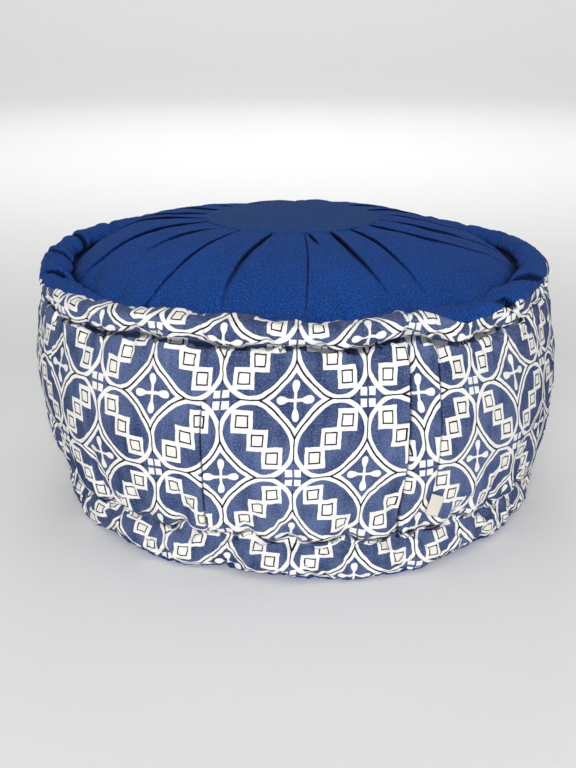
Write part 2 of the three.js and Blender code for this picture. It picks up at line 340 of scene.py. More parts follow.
    def on_low_roll(self, azimuth: Array, angle: Array) -> tuple[Array, Array]:
        """Radius and height on the bottom roll at an azimuth and an angle round its section."""
        radius, height = self.low_roll.point(angle)
        return radius + round_table(self.low_out, azimuth), height

    def on_side(self, azimuth: Array, share: Array) -> tuple[Array, Array]:
        """Follow the side from the top channel to the bottom one.

        Args:
            azimuth: In degrees.
            share: How far down, from 0 to 1.

        Returns:
            Radius and height in millimetres.
        """
        radius, height = through(self.side, share)
        lumps = 0.6 * np.sin(np.radians(3 * azimuth + 40)) + 0.4 * np.sin(np.radians(7 * azimuth - 65))
        radius = radius + 1.2 * lumps * np.sin(math.pi * share)
        radius = radius + round_table(self.low_out, azimuth) * share**14
        radius = radius - round_table(self.top_draw, azimuth) * np.exp(-share / 0.09)
        low = round_table(self.channel_low, azimuth) * np.exp(-share / 0.17)
        return radius, height + round_table(self.top_rise, azimuth) * (1.0 - share) ** 2 - low

    def seam_angle(self, azimuth: Array) -> Array:
        """Angle of the seam between top and band round the top roll's section."""
        return self.top_roll.seam_angle + round_table(self.seam_turn, azimuth)

    def place(self, azimuth: Array, radius: Array, height: Array) -> Array:
        """Place points in space with the cushion's lean.

        Args:
            azimuth: In degrees.
            radius: In millimetres.
            height: In millimetres.

        Returns:
            Points with their three coordinates last, in millimetres.
        """
        share = height / self.crown_height
        lean = self.lean_at_floor + (self.lean_at_crown - self.lean_at_floor) * share
        forward = self.lean_forward * (1.0 - 2.0 * share)
        turn = np.radians(azimuth)
        return np.stack([radius * np.sin(turn) + lean, -radius * np.cos(turn) - forward, height], axis=-1)


# Folds: what the cloth does on top of the smooth form


class Lap(Enum):
    """Which side of a pleat's crack carries the raised, overlapping ridge, seen from the rim."""

    LEFT = -1
    NONE = 0
    RIGHT = 1


@dataclass(frozen=True)
class Pleat:
    """One pleat of the top: its line at the patch, half way and at the rim, and how it folds."""

    start: float
    middle: float
    end: float
    depth: float
    reach: float
    lap: Lap = Lap.NONE
    crack: float = 0.9

    def line(self, out: Array) -> Array:
        """Azimuth of the crack at a share of the way out."""
        return self.start + (4 * self.middle - 3 * self.start - self.end) * out + (
            2 * self.start + 2 * self.end - 4 * self.middle
        ) * out**2


PLEATS: tuple[Pleat, ...] = (
    Pleat(6.8, 4.6, 2.0, 3.2, 1.1, Lap.NONE, 0.5),
    Pleat(9.3, 12.3, 13.5, 4.2, 0.26, Lap.RIGHT, 1.0),
    Pleat(22.8, 22.6, 25.0, 6.4, 0.88, Lap.RIGHT, 1.3),
    Pleat(38.7, 36.6, 33.6, 4.6, 0.9, Lap.RIGHT, 0.9),
    Pleat(58.0, 67.0, 84.0, 2.0, 1.0, Lap.RIGHT, 1.6),
    Pleat(79.0, 83.0, 92.0, 2.6, 1.0, Lap.RIGHT, 1.6),
    Pleat(101.0, 101.0, 104.0, 3.4, 0.8, Lap.RIGHT, 1.0),
    Pleat(119.0, 121.0, 122.0, 4.4, 1.0, Lap.RIGHT, 1.0),
    Pleat(141.0, 138.0, 139.0, 4.8, 0.7, Lap.RIGHT, 1.0),
    Pleat(159.0, 161.0, 163.0, 2.4, 1.0, Lap.LEFT, 0.9),
    Pleat(178.0, 178.5, 176.0, 0.5, 1.0, Lap.LEFT, 1.1),
    Pleat(199.0, 201.0, 203.0, 1.6, 0.6, Lap.LEFT, 0.9),
    Pleat(219.0, 220.0, 218.0, 3.2, 1.0, Lap.LEFT, 1.1),
    Pleat(239.0, 237.0, 238.0, 3.6, 1.0, Lap.LEFT, 1.0),
    Pleat(256.5, 257.5, 254.0, 4.2, 1.0, Lap.LEFT, 0.9),
    Pleat(272.0, 266.0, 261.0, 4.8, 1.0, Lap.LEFT, 1.0),
    Pleat(286.6, 290.0, 287.7, 6.0, 1.15, Lap.LEFT, 1.2),
    Pleat(309.0, 306.2, 306.6, 3.8, 0.66, Lap.LEFT, 0.8),
    Pleat(325.0, 324.8, 323.2, 4.6, 1.15, Lap.LEFT, 0.9),
    Pleat(347.4, 343.2, 342.8, 6.4, 0.95, Lap.LEFT, 1.3),
)


def lapped(side: Array, width: Array | float, seen: float = 0.0) -> tuple[Array, Array, Array]:
    """Cross-section of a fold whose one side laps over the other.

    Args:
        side: Distance from the fold's line in millimetres, positive on the lapping side.
        width: Half width of its crack, in millimetres.
        seen: 1 where the painted shade under the lip reaches up to it, 0 where it stays in the crack.

    Returns:
        Lift and sideways slide as shares of the fold's depth, and a mask of the shade painted in the crack
        and under its lip.
    """
    crack = np.exp(-(np.abs(side / width) ** 1.6))
    lip = np.exp(-(((side - 2.2 * width) / (1.3 * width)) ** 2))
    bank = smooth(side / width + 0.5) * np.exp(-np.maximum(side, 0.0) / 10.0)
    # Mask of painted shade, from the crack up under the lip.
    shade = np.exp(-(((side - (0.4 + 0.8 * seen) * width) / ((0.85 + 0.6 * seen) * width)) ** 2))
    return 0.14 * lip + 0.2 * bank - crack, 0.34 * crack - 0.26 * lip, shade


@dataclass(frozen=True)
class Tuck:
    """An upright tuck in the band that takes up fullness: azimuths at its two ends, and its fold."""

    top_azimuth: float
    low_azimuth: float
    top: float
    bottom: float
    depth: float
    lap: Lap
    width: float = 1.0

    def line(self, from_low: Array) -> Array:
        """Azimuth of the tuck at distances up from the bottom channel."""
        share = np.clip((from_low - 10.0) / 120.0, -0.3, 1.3)
        return self.low_azimuth + (self.top_azimuth - self.low_azimuth) * share

    def fold(self, azimuth: Array, from_low: Array) -> tuple[Array, Array, Array]:
        """Shape the band's cloth at the tuck.

        Args:
            azimuth: In degrees.
            from_low: Distance up from the bottom channel, in millimetres.

        Returns:
            Lift and slide in millimetres, and the crack's mask, used to paint shade into it.
        """
        across = np.radians(apart(azimuth, self.line(from_low))) * SIDE_RADIUS
        ends = smooth((self.top - from_low) / 16.0) * smooth((from_low - self.bottom) / 22.0)
        lift, slide, _ = lapped(across * (self.lap.value or 1), self.width)
        # Mask of painted shade along the tuck's crack.
        crack = np.exp(-((across / (1.1 * self.width)) ** 2))
        depth = self.depth * ends
        return lift * depth, slide * depth * self.lap.value, crack * ends


TUCKS: tuple[Tuck, ...] = (
    Tuck(21.7, 20.1, 129.0, -14.0, 3.6, Lap.LEFT, 1.2),
    Tuck(27.6, 27.4, 131.0, 28.0, 2.6, Lap.LEFT, 1.0),
    Tuck(-17.6, -19.4, 104.0, -10.0, 2.6, Lap.RIGHT, 0.9),
    Tuck(-62.0, -60.5, 133.0, 58.0, 2.2, Lap.RIGHT, 1.0),
    Tuck(-101.0, -102.5, 133.0, -14.0, 3.2, Lap.RIGHT, 1.2),
    Tuck(-148.0, -146.5, 84.0, -14.0, 2.4, Lap.RIGHT, 1.0),
    Tuck(170.0, 170.6, 133.0, 30.0, 2.8, Lap.LEFT, 1.1),
    Tuck(121.0, 122.5, 133.0, -14.0, 3.0, Lap.LEFT, 1.2),
    Tuck(74.0, 73.4, 84.0, -10.0, 2.2, Lap.LEFT, 1.0),
)


@dataclass(frozen=True)
class RollFold:
    """A deep fold across the top roll, where its stitches gather it."""

    azimuth: float
    depth: float
    width: float = 1.1
    slant: float = 0.0
    start: float = 0.96
    reach: float = 1.66

    def cut(self, azimuth: Array, mark: Array) -> tuple[Array, Array]:
        """Shape the roll's cloth at the fold.

        Args:
            azimuth: In degrees.
            mark: Place along the shell.

        Returns:
            Displacement in millimetres and the mask of shade painted beside the crack.
        """
        across = apart(azimuth, self.azimuth + self.slant * (mark - 1.5))
        ends = smooth((mark - self.start) / 0.12) * smooth((self.reach - mark) / 0.12)
        valley = np.exp(-np.abs(across / self.width) ** 1.3)
        shoulder = np.exp(-(((np.abs(across) - 3.4 * self.width) / (2.6 * self.width)) ** 2))
        # Mask of painted shade on the fold's far side, stronger for deeper folds.
        far = across * math.copysign(1.0, self.azimuth)
        shade = np.exp(-(((far - 0.8 * self.width) / self.width) ** 2))
        return ends * self.depth * (0.36 * shoulder - valley), ends * shade * min(self.depth / 4.5, 1.0)


ROLL_FOLDS: tuple[RollFold, ...] = (
    RollFold(-104.5, 5.0, 0.9, -9.0),
    RollFold(-87.5, 5.0, 0.9, -12.0),
    RollFold(-71.5, 4.6, 0.9, -26.0, 1.1),
    RollFold(-122.0, 1.6, 1.1, -6.0),
    RollFold(-140.0, 2.4, 1.2, -5.0),
    RollFold(-158.0, 2.6, 1.2, 4.0),
    RollFold(-174.0, 2.0, 1.1),
    RollFold(34.6, 1.5, 0.8, 4.0, 1.5, 1.82),
    RollFold(46.3, 5.0, 1.1, 12.0, 1.42, 1.82),
    RollFold(62.8, 4.2, 1.6, 22.0, 1.16, 1.74),
    RollFold(80.0, 1.2, 1.0, 4.0),
    RollFold(93.0, 1.4, 1.0, 6.0, 0.96, 1.4),
    RollFold(108.0, 1.5, 1.1, 5.0),
    RollFold(126.0, 1.4, 1.2, 3.0),
    RollFold(143.0, 2.4, 1.1, 4.0),
    RollFold(162.0, 2.2, 1.1, 3.0),
)


def crowded(centres: Sequence[float], columns: int) -> Array:
    """Azimuths round the cushion, closer together at folds.

    Args:
        centres: Azimuths of the folds.
        columns: How many azimuths to give.

    Returns:
        Growing azimuths from -180 degrees.
    """
    even = np.linspace(-180.0, 180.0, 7201)
    density = 1.0 + sum(4.0 * np.exp(-((apart(even, np.array(c)) / 1.5) ** 2)) for c in centres)
    gone = np.concatenate([[0.0], np.cumsum((density[1:] + density[:-1]) / 2.0)])
    return np.interp(np.linspace(0.0, gone[-1], columns + 1), gone, even)[:-1]


@dataclass(frozen=True)
class Crease:
    """One crease over a roll or down the side: a sharp valley that runs out at both ends."""

    azimuth: float
    along: float
    length: float
    depth: float
    width: float
    slant: float = 0.0
    lap: float = 0.0

    def cut(self, azimuth: Array, along: Array) -> Array:
        """Shape the cloth at the crease.

        Args:
            azimuth: In degrees.
            along: Distance along the section, in millimetres.

        Returns:
            Displacement in millimetres.
        """
        far = (along - self.along) / self.length
        ends = np.clip(1.0 - far * far, 0.0, 1.0) ** 0.7
        across = apart(azimuth, self.azimuth + self.slant * (along - self.along))
        valley = np.exp(-np.abs(across / self.width) ** 1.2)
        shoulder = np.exp(-(((np.abs(across) - 2.6 * self.width) / (1.6 * self.width)) ** 2))
        step = np.sign(across) * np.exp(-np.abs(across) / (5.0 * self.width))
        return ends * (self.depth * (0.28 * shoulder - valley) + self.lap * step)


def scatter(seed: int, count: int, along: float, length: float, depth: float, width: float) -> list[Crease]:
    """Creases all round a channel, unevenly spaced.

    Args:
        seed: Picks the arrangement.
        count: How many.
        along: Their middle, as a distance along the section.
        length: Their usual half length.
        depth: Their usual depth.
        width: Their usual half width, in degrees.

    Returns:
        The creases.
    """
    rng = np.random.default_rng(seed)
    made = []
    for i in range(count):
        azimuth = (i + rng.uniform(-0.34, 0.34)) * 360.0 / count
        made.append(
            Crease(
                azimuth,
                along + rng.normal(0.0, 0.18) * length,
                length * rng.uniform(0.55, 1.25),
                depth * rng.uniform(0.25, 1.2),
                width * rng.uniform(0.7, 1.5),
                rng.normal(0.0, 0.1),
                rng.normal(0.0, 0.16) * depth,
            )
        )
    return made


# The outer cloth settled over its filling

TOP_ROLL_ENDS = (186.0, -50.0)  # angles round the top roll at the gully and at the channel
LOW_ROLL_ENDS = (62.0, -166.0)  # angles round the bottom roll at the channel and underneath


def roll_mark(angle: Array) -> Array:
    """Where an angle on the top roll lies along the shell, from 1 at the gully to 2 at the channel."""
    return 1.0 + (TOP_ROLL_ENDS[0] - angle) / (TOP_ROLL_ENDS[0] - TOP_ROLL_ENDS[1])


def low_mark(angle: Array) -> Array:
    """Where an angle on the bottom roll lies along the shell, from 3 at the channel to 4 underneath."""
    return 3.0 + (LOW_ROLL_ENDS[0] - angle) / (LOW_ROLL_ENDS[0] - LOW_ROLL_ENDS[1])


@dataclass
class FilledShell:
    """The whole outer cloth at a coarse size, settled over its filling by a cloth simulation.

    The cloth is cut a little larger than the form near its rolls, is held by the stitches of the
    two channels, and is pressed outward. The pieces take their puckers from it.
    """

    form: CushionForm
    columns: int = 400
    frames: int = 12
    roll_radius: float = 180.0
    growth: float = 0.075
    pressure: float = 4.0
    cap: float = 5.0
    pull: float = 3.2
    pull_width: float = 4.6
    top_stitches: tuple[float, ...] = (-48.0, -34.0, -18.2, -5.3, 5.1, 12.1, 22.0, 29.1, 39.7, 44.6, 60.2)
    low_stitches: tuple[float, ...] = (
        *(-60.3, -45.0, -35.5, -25.2, -11.2, -2.4),
        *(8.9, 19.8, 26.1, 33.9, 44.8, 56.6),
    )
    marks: Array = field(init=False)
    shift: Array = field(init=False)

    def stitches(self, shown: Sequence[float], seed: int) -> list[float]:
        """The stitches that the photograph shows, and others at their usual distance round the back.

        Args:
            shown: Azimuths of those that show.
            seed: Picks the places of the others.

        Returns:
            All their azimuths.
        """
        rng = np.random.default_rng(seed)
        places = list(shown)
        azimuth = shown[-1]
        while azimuth < shown[0] + 360.0 - 17.0:
            azimuth += 11.6 + rng.uniform(-3.0, 3.0)
            places.append(azimuth)
        return places

    def section(self, azimuth: Array) -> tuple[Array, Array, Array]:
        """The shell's section, from the patch over to the base.

        Args:
            azimuth: Azimuths of the columns, one row.

        Returns:
            Radius and height, rows by columns, and the mark of each row.
        """
        form = self.form
        parts: list[tuple[Array, Array, Array]] = []
        out = np.array([0.5, 0.68, 0.8, 0.88, 0.935, 0.975])[:, None]
        radius = form.patch_radius + out * (form.gully_radius - form.patch_radius) + 0.0 * azimuth
        parts.append((radius, form.crown(azimuth, radius), out))
        angle = np.linspace(TOP_ROLL_ENDS[0], -48.0, 18)[:, None] + 0.0 * azimuth
        parts.append((*form.on_top_roll(azimuth, angle), roll_mark(angle[:, :1])))
        share = np.linspace(0.0, 1.0, 36)[:, None]
        parts.append((*form.on_side(azimuth, share + 0.0 * azimuth), 2.0 + share))
        angle = np.linspace(60.0, LOW_ROLL_ENDS[1], 20)[:, None] + 0.0 * azimuth
        parts.append((*form.on_low_roll(azimuth, angle), low_mark(angle[:, :1])))
        last = np.full_like(azimuth, form.base_flat_radius)
        parts.append((last, 0.0 * last, np.array([[5.0]])))
        radius, height, mark = (np.vstack([part[i] for part in parts]) for i in range(3))
        return radius, height, mark[:, 0]

    def pulls(self, azimuth: Array, marks: Array) -> tuple[Array, Array]:
        """How far each point is pulled in by the stitches, and which points they hold.

        Args:
            azimuth: Azimuths of the columns.
            marks: Marks of the rows.

        Returns:
            Inward pull in millimetres and a mask, both rows by columns.
        """
        pull = np.zeros((len(marks), azimuth.shape[1]))
        held = np.zeros(pull.shape, dtype=bool)
        for places, channels, seed in (
            (self.top_stitches, ((1.02, 9.5, 1.0), (1.99, 9.5, 1.0)), 3),
            (self.low_stitches, ((3.0, 13.0, 1.1), (4.0, 13.0, 0.5)), 4),
        ):
            for place in self.stitches(places, seed):
                across = np.abs(apart(azimuth, np.array(place))) * math.pi / 180.0 * self.roll_radius
                for mark, half, strength in channels:
                    along = np.abs(marks[:, None] - mark) * half * 4.3
                    far = (across / self.pull_width) ** 2 + (along / (1.2 * self.pull_width)) ** 2
                    reach = np.exp(-far)
                    pull += self.pull * strength * reach
                    row = int(np.argmin(np.abs(marks - mark)))
                    held[row] |= across[0] < 1.7
        return pull, held

    def settle(self) -> None:
        azimuth = (np.arange(self.columns) * 360.0 / self.columns - 180.0)[None, :]
        radius, height, self.marks = self.section(azimuth)
        rest = self.form.place(azimuth, radius, height)
        self.shift = np.zeros((len(self.marks), COLUMNS, 3))
        pull, held = self.pulls(azimuth, self.marks)
        jitter = 0.35 * soft_noise(azimuth / 3.1, self.marks[:, None] * 14.0, 17)
        shell = self.sewn(rest + outward(rest) * (jitter - pull)[..., None], held)
        self.fill(shell)
        self.shift = self.tidy(self.run(shell) - rest, azimuth)

    def sewn(self, start: Array, held: Array) -> bpy.types.Object:
        """Make the shell, with groups for its stitches and for where its cloth is cut larger.

        Args:
            start: Rows by columns by 3, in millimetres.
            held: Mask of the points that the stitches hold.

        Returns:
            The shell.
        """
        rows = len(self.marks)
        index = np.arange(rows * self.columns).reshape(rows, self.columns)
        after = np.roll(index, -1, axis=1)
        faces = np.stack([index[:-1], index[1:], after[1:], after[:-1]], axis=-1).reshape(-1, 4).tolist()
        faces += [index[0].tolist(), index[-1][::-1].tolist()]
        mesh = bpy.data.meshes.new("shell")
        mesh.from_pydata((start.reshape(-1, 3) * MM).tolist(), [], faces)
        shell = bpy.data.objects.new("shell", mesh)
        bpy.context.scene.collection.objects.link(shell)
        holds = shell.vertex_groups.new(name="held")
        held[0] = held[-1] = True
        holds.add(index[held].tolist(), 1.0, "REPLACE")
        ease = shell.vertex_groups.new(name="ease")
        for row, mark in enumerate(self.marks):
            near = max(math.exp(-(((mark - 1.62) / 0.62) ** 6)), math.exp(-(((mark - 3.3) / 0.6) ** 4)))
            ease.add(index[row].tolist(), 1.0 - near, "REPLACE")
        return shell

    def fill(self, shell: bpy.types.Object) -> None:
        """Make the shell of cloth and press it outward with its filling.

        Args:
            shell: The sewn shell.
        """
        modifier = shell.modifiers.new("settle", "CLOTH")
        cloth = modifier.settings
        cloth.quality = 5
        cloth.mass = 0.3
        cloth.tension_stiffness = 20.0
        cloth.compression_stiffness = 12.0
        cloth.shear_stiffness = 8.0
        cloth.bending_stiffness = 0.06
        cloth.vertex_group_mass = "held"
        cloth.vertex_group_shrink = "ease"
        cloth.shrink_min = -self.growth
        cloth.shrink_max = 0.0
        cloth.use_pressure = True
        cloth.uniform_pressure_force = self.pressure
        cloth.effector_weights.gravity = 0.0
        modifier.collision_settings.use_collision = False
        modifier.point_cache.frame_start = 1
        modifier.point_cache.frame_end = self.frames

    def run(self, shell: bpy.types.Object) -> Array:
        """Run the simulation, read its last frame and remove the shell.

        Args:
            shell: The filled shell.

        Returns:
            Its points, rows by columns by 3, in millimetres.
        """
        rows = len(self.marks)
        scene = bpy.context.scene
        for frame in range(1, self.frames + 1):
            scene.frame_set(frame)
        evaluated = shell.evaluated_get(bpy.context.evaluated_depsgraph_get())
        settled = np.empty(rows * self.columns * 3, dtype=np.float32)
        evaluated.data.vertices.foreach_get("co", settled)
        scene.frame_set(1)
        mesh = shell.data
        bpy.data.objects.remove(shell)
        bpy.data.meshes.remove(mesh)
        return settled.reshape(rows, self.columns, 3).astype(float) / MM

    def tidy(self, moved: Array, azimuth: Array) -> Array:
        """Keep the puckers, drop slow swelling, cap them and bring them to the pieces' columns.

        Args:
            moved: Rows by coarse columns by 3, in millimetres.
            azimuth: Azimuths of the coarse columns.

        Returns:
            Rows by fine columns by 3.
        """
        turn = np.radians(azimuth[0])
        outer = np.stack([np.sin(turn), -np.cos(turn), 0 * turn], axis=-1)
        round_way = np.stack([np.cos(turn), np.sin(turn), 0 * turn], axis=-1)
        parts = [(moved * outer).sum(-1), (moved * round_way).sum(-1), moved[..., 2]]
        fine = np.radians(AZIMUTHS)
        filtered = []
        for part in parts:
            waves = np.fft.rfft(part, axis=1)
            waves[:, :5] = 0.0
            filtered.append(np.fft.irfft(waves, n=COLUMNS, axis=1) * COLUMNS / self.columns)
        size = np.sqrt(sum(part**2 for part in filtered))
        LOG.info("puckers: typical %.2f mm, largest %.2f mm", float(size.mean()), float(size.max()))
        hold = self.cap * np.tanh(size / self.cap) / np.maximum(size, 1e-6)
        fine_outer = np.stack([np.sin(fine), -np.cos(fine), 0 * fine], axis=-1)
        fine_round = np.stack([np.cos(fine), np.sin(fine), 0 * fine], axis=-1)
        shift = filtered[0][..., None] * fine_outer + filtered[1][..., None] * fine_round
        shift[..., 2] += filtered[2]
        return shift * hold[..., None]

    def at(self, mark: Array, azimuth: Array) -> Array:
        """Shift of the cloth at marks along the shell and azimuths.

        Args:
            mark: Rows by 1 or by columns.
            azimuth: The same shape, or one row.

        Returns:
            Rows by columns by 3, in millimetres.
        """
        mark, azimuth = np.broadcast_arrays(mark, azimuth)
        place = np.interp(mark, self.marks, np.arange(len(self.marks)))
        last = len(self.marks) - 1
        row = np.clip(place.astype(int), 0, last - 1)
        t = (place - row)[..., None]
        turned = (azimuth + 180.0) % 360.0 * COLUMNS / 360.0
        column = turned.astype(int) % COLUMNS
        share = (turned - np.floor(turned))[..., None]
        ends = []
        for side in (column, (column + 1) % COLUMNS):
            a, b, c, d = (self.shift[np.clip(row + k, 0, last), side] for k in (-1, 0, 1, 2))
            ends.append(b + 0.5 * t * (c - a + t * (2 * a - 5 * b + 4 * c - d + t * (3 * (b - c) + d - a))))
        back = smooth((off_front(azimuth) - 66.0) / 30.0) * smooth((1.8 - mark) / 0.3)
        face = np.exp(-(((mark - 1.62) / 0.2) ** 2))
        calm = (1.0 - 0.6 * back) * (1.0 - 0.72 * face)
        return (ends[0] + (ends[1] - ends[0]) * share) * calm[..., None]


# Meshes


def outward(points: Array) -> Array:
    """Unit normals of a grid of points, rows down the section and columns round the cushion."""
    down = np.gradient(points, axis=0)
    around = np.roll(points, -1, axis=1) - np.roll(points, 1, axis=1)
    normal = np.cross(down, around)
    return normal / np.maximum(np.linalg.norm(normal, axis=-1, keepdims=True), 1e-9)


def folded(base: Array, azimuth: Array, lift: Array, slide: Array) -> Array:
    """Move a grid of points outward by its lift and round the cushion by its slide.

    Args:
        base: Rows by columns by 3, in millimetres.
        azimuth: The columns' azimuths in degrees.
        lift: Distances along the normals.
        slide: Distances round the cushion, positive to growing azimuths.

    Returns:
        The moved points.
    """
    turn = np.radians(azimuth)
    sideways = np.stack([np.cos(turn), np.sin(turn), 0.0 * turn], axis=-1)
    return base + outward(base) * lift[..., None] + sideways * slide[..., None]


def travelled(radius: Array, height: Array) -> Array:
    """Distance along a section from its first row, averaged over the columns."""
    step = np.hypot(np.diff(radius, axis=0), np.diff(height, axis=0)).mean(axis=1)
    return np.concatenate([[0.0], np.cumsum(step)])[:, None]


def cloth_mesh(
    name: str, points: Array, chart: Array, closed_start: bool = False, folds: Array | None = None
) -> bpy.types.Object:
    """Make a swept cloth surface from a grid of points.

    Args:
        name: The piece's name.
        points: Rows by columns by 3, in millimetres; columns close round the cushion.
        chart: Rows by columns + 1 by 2, the cloth's own coordinates in metres at each edge.
        closed_start: Close the first row to a point with a fan.
        folds: Rows by columns, 1 deep in a fold, kept for the material, which paints shade there.

    Returns:
        The object, linked to the scene and shaded smooth.
    """
    rows, columns = points.shape[:2]
    index = np.arange(rows * columns).reshape(rows, columns)
    here, there = index, np.roll(index, -1, axis=1)
    quads = np.stack([here[:-1], here[1:], there[1:], there[:-1]], axis=-1).reshape(-1, 4)
    faces: list[list[int]] = quads.tolist()
    cells = np.stack([chart[:-1, :-1], chart[1:, :-1], chart[1:, 1:], chart[:-1, 1:]], axis=2).reshape(-1, 2)
    corners = [cells]
    vertices = points.reshape(-1, 3)
    if closed_start:
        hub = len(vertices)
        vertices = np.vstack([vertices, points[0].mean(axis=0)])
        faces += [[hub, int(here[0, i]), int(there[0, i])] for i in range(columns)]
        middle = np.broadcast_to(chart[0, :-1].mean(axis=0), (columns, 2))
        corners.append(np.stack([middle, chart[0, :-1], chart[0, 1:]], axis=1).reshape(-1, 2))
    mesh = bpy.data.meshes.new(name)
    mesh.from_pydata((vertices * MM).tolist(), [], faces)
    layer = mesh.uv_layers.new(name="cloth")
    layer.data.foreach_set("uv", np.vstack(corners).astype(np.float32).ravel())
    # The fold attribute is the mask of shade painted into the material's colour.
    if folds is not None:
        depth = mesh.attributes.new("fold", "FLOAT", "POINT")
        values = np.zeros(len(vertices), dtype=np.float32)
        values[: folds.size] = folds.ravel()
        depth.data.foreach_set("value", values)
    mesh.shade_smooth()
    mesh.update()
    piece = bpy.data.objects.new(name, mesh)
    bpy.context.scene.collection.objects.link(piece)
    return piece


def plan_chart(points: Array) -> Array:
    """Cloth coordinates in metres for a piece cut flat, read straight down on its points."""
    closed = np.concatenate([points, points[:, :1]], axis=1)
    return closed[..., :2] * MM


# Shader nodes


class Sketch:
    """Writes a node tree in short calls."""

    def __init__(self, tree: bpy.types.NodeTree) -> None:
        """Start on a tree."""
        self.tree = tree

    def node(self, kind: str, **settings: object) -> bpy.types.Node:
        """Add a node and set its properties."""
        made = self.tree.nodes.new(kind)
        for name, value in settings.items():
            setattr(made, name, value)
        return made

    def feed(self, socket: bpy.types.NodeSocket, value: object) -> None:
        """Link a socket to another's output, or set its value."""
        if isinstance(value, bpy.types.NodeSocket):
            self.tree.links.new(value, socket)
        elif value is not None:
            socket.default_value = value

    def math(self, operation: str, *values: object) -> bpy.types.NodeSocket:
        """A Math node's result."""
        made = self.node("ShaderNodeMath", operation=operation)
        for socket, value in zip(made.inputs, values):
            self.feed(socket, value)
        return made.outputs[0]

    def inside(self, value: object, low: float, high: float) -> bpy.types.NodeSocket:
        """1 where a value lies between two limits, else 0."""
        over = self.math("GREATER_THAN", value, low)
        return self.math("MULTIPLY", over, self.math("LESS_THAN", value, high))

    def both(self, *masks: object) -> bpy.types.NodeSocket:
        """The product of masks."""
        made = masks[0]
        for mask in masks[1:]:
            made = self.math("MULTIPLY", made, mask)
        return made

    def any(self, *masks: object) -> bpy.types.NodeSocket:
        """The largest of masks."""
        made = masks[0]
        for mask in masks[1:]:
            made = self.math("MAXIMUM", made, mask)
        return made

    def mix(self, factor: object, first: object, second: object) -> bpy.types.NodeSocket:
        """One colour over another."""
        made = self.node("ShaderNodeMix", data_type="RGBA")
        self.feed(made.inputs[0], factor)
        self.feed(made.inputs[6], first)
        self.feed(made.inputs[7], second)
        return made.outputs[2]

    def noise(self, vector: object, scale: float, detail: float = 2.0) -> bpy.types.Node:
        """A noise texture node."""
        made = self.node("ShaderNodeTexNoise")
        self.feed(made.inputs["Vector"], vector)
        self.feed(made.inputs["Scale"], scale)
        self.feed(made.inputs["Detail"], detail)
        return made

    def stretch(self, vector: object, scale: tuple[float, float, float]) -> bpy.types.NodeSocket:
        """A vector multiplied along its axes."""
        made = self.node("ShaderNodeVectorMath", operation="MULTIPLY")
        self.feed(made.inputs[0], vector)
        self.feed(made.inputs[1], scale)
        return made.outputs[0]

    def ease(
        self, value: object, low: float, high: float, to_low: float, to_high: float
    ) -> bpy.types.NodeSocket:
        """A value carried from one range to another and held at its ends."""
        made = self.node("ShaderNodeMapRange", interpolation_type="SMOOTHSTEP")
        for i, amount in enumerate((value, low, high, to_low, to_high)):
            self.feed(made.inputs[i], amount)
        return made.outputs[0]


Ports = dict[str, str]
Group = tuple[bpy.types.NodeTree, Sketch, bpy.types.Node, bpy.types.Node]


def new_group(name: str, inputs: Ports, outputs: Ports) -> Group:
    """Start a shader node group with named sockets.

    Args:
        name: The group's name.
        inputs: Socket names and types.
        outputs: Socket names and types.

    Returns:
        The tree, its sketch, and its input and output nodes.
    """
    tree = bpy.data.node_groups.new(name, "ShaderNodeTree")
    for ports, side in ((inputs, "INPUT"), (outputs, "OUTPUT")):
        for port, kind in ports.items():
            tree.interface.new_socket(name=port, in_out=side, socket_type=kind)
    sketch = Sketch(tree)
    return tree, sketch, sketch.node("NodeGroupInput"), sketch.node("NodeGroupOutput")


FLOAT, VECTOR = "NodeSocketFloat", "NodeSocketVector"


def weave_group() -> bpy.types.NodeTree:
    """Plain weave with uneven threads.

    Returns:
        A group that turns cloth coordinates into the threads' height and a light-and-dark mask.
    """
    tree, s, start, end = new_group(
        "plain_weave", {"Cloth": VECTOR, "Thread": FLOAT, "Slub": FLOAT}, {"Height": FLOAT, "Mask": FLOAT}
    )
    cloth, thread, slub = start.outputs["Cloth"], start.outputs["Thread"], start.outputs["Slub"]
    scaled = s.node("ShaderNodeVectorMath", operation="SCALE")
    s.feed(scaled.inputs[0], cloth)
    s.feed(scaled.inputs["Scale"], s.math("DIVIDE", math.pi, thread))
    split = s.node("ShaderNodeSeparateXYZ")
    s.feed(split.inputs[0], scaled.outputs[0])
    warp = s.math("ABSOLUTE", s.math("SINE", split.outputs[0]))
    weft = s.math("ABSOLUTE", s.math("SINE", split.outputs[1]))
    over = s.math("SINE", s.math("MULTIPLY", split.outputs[0], 0.5))
    under = s.math("SINE", s.math("MULTIPLY", split.outputs[1], 0.5))
    check = s.ease(s.math("MULTIPLY", over, under), -0.2, 0.2, 0.0, 1.0)
    threads = s.math("ADD", s.both(warp, check), s.both(weft, s.math("SUBTRACT", 1.0, check)))
    slub_warp = s.noise(s.stretch(cloth, (900.0, 90.0, 1.0)), 1.0, 3.0).outputs[0]
    slub_weft = s.noise(s.stretch(cloth, (90.0, 900.0, 1.0)), 1.0, 3.0).outputs[0]
    uneven = s.math("SUBTRACT", s.math("ADD", slub_warp, slub_weft), 1.0)
    height = s.math("ADD", threads, s.math("MULTIPLY", uneven, slub))
    s.feed(end.inputs["Height"], height)
    s.feed(end.inputs["Mask"], s.math("ADD", 0.5, s.math("MULTIPLY", uneven, 1.6)))
    return tree


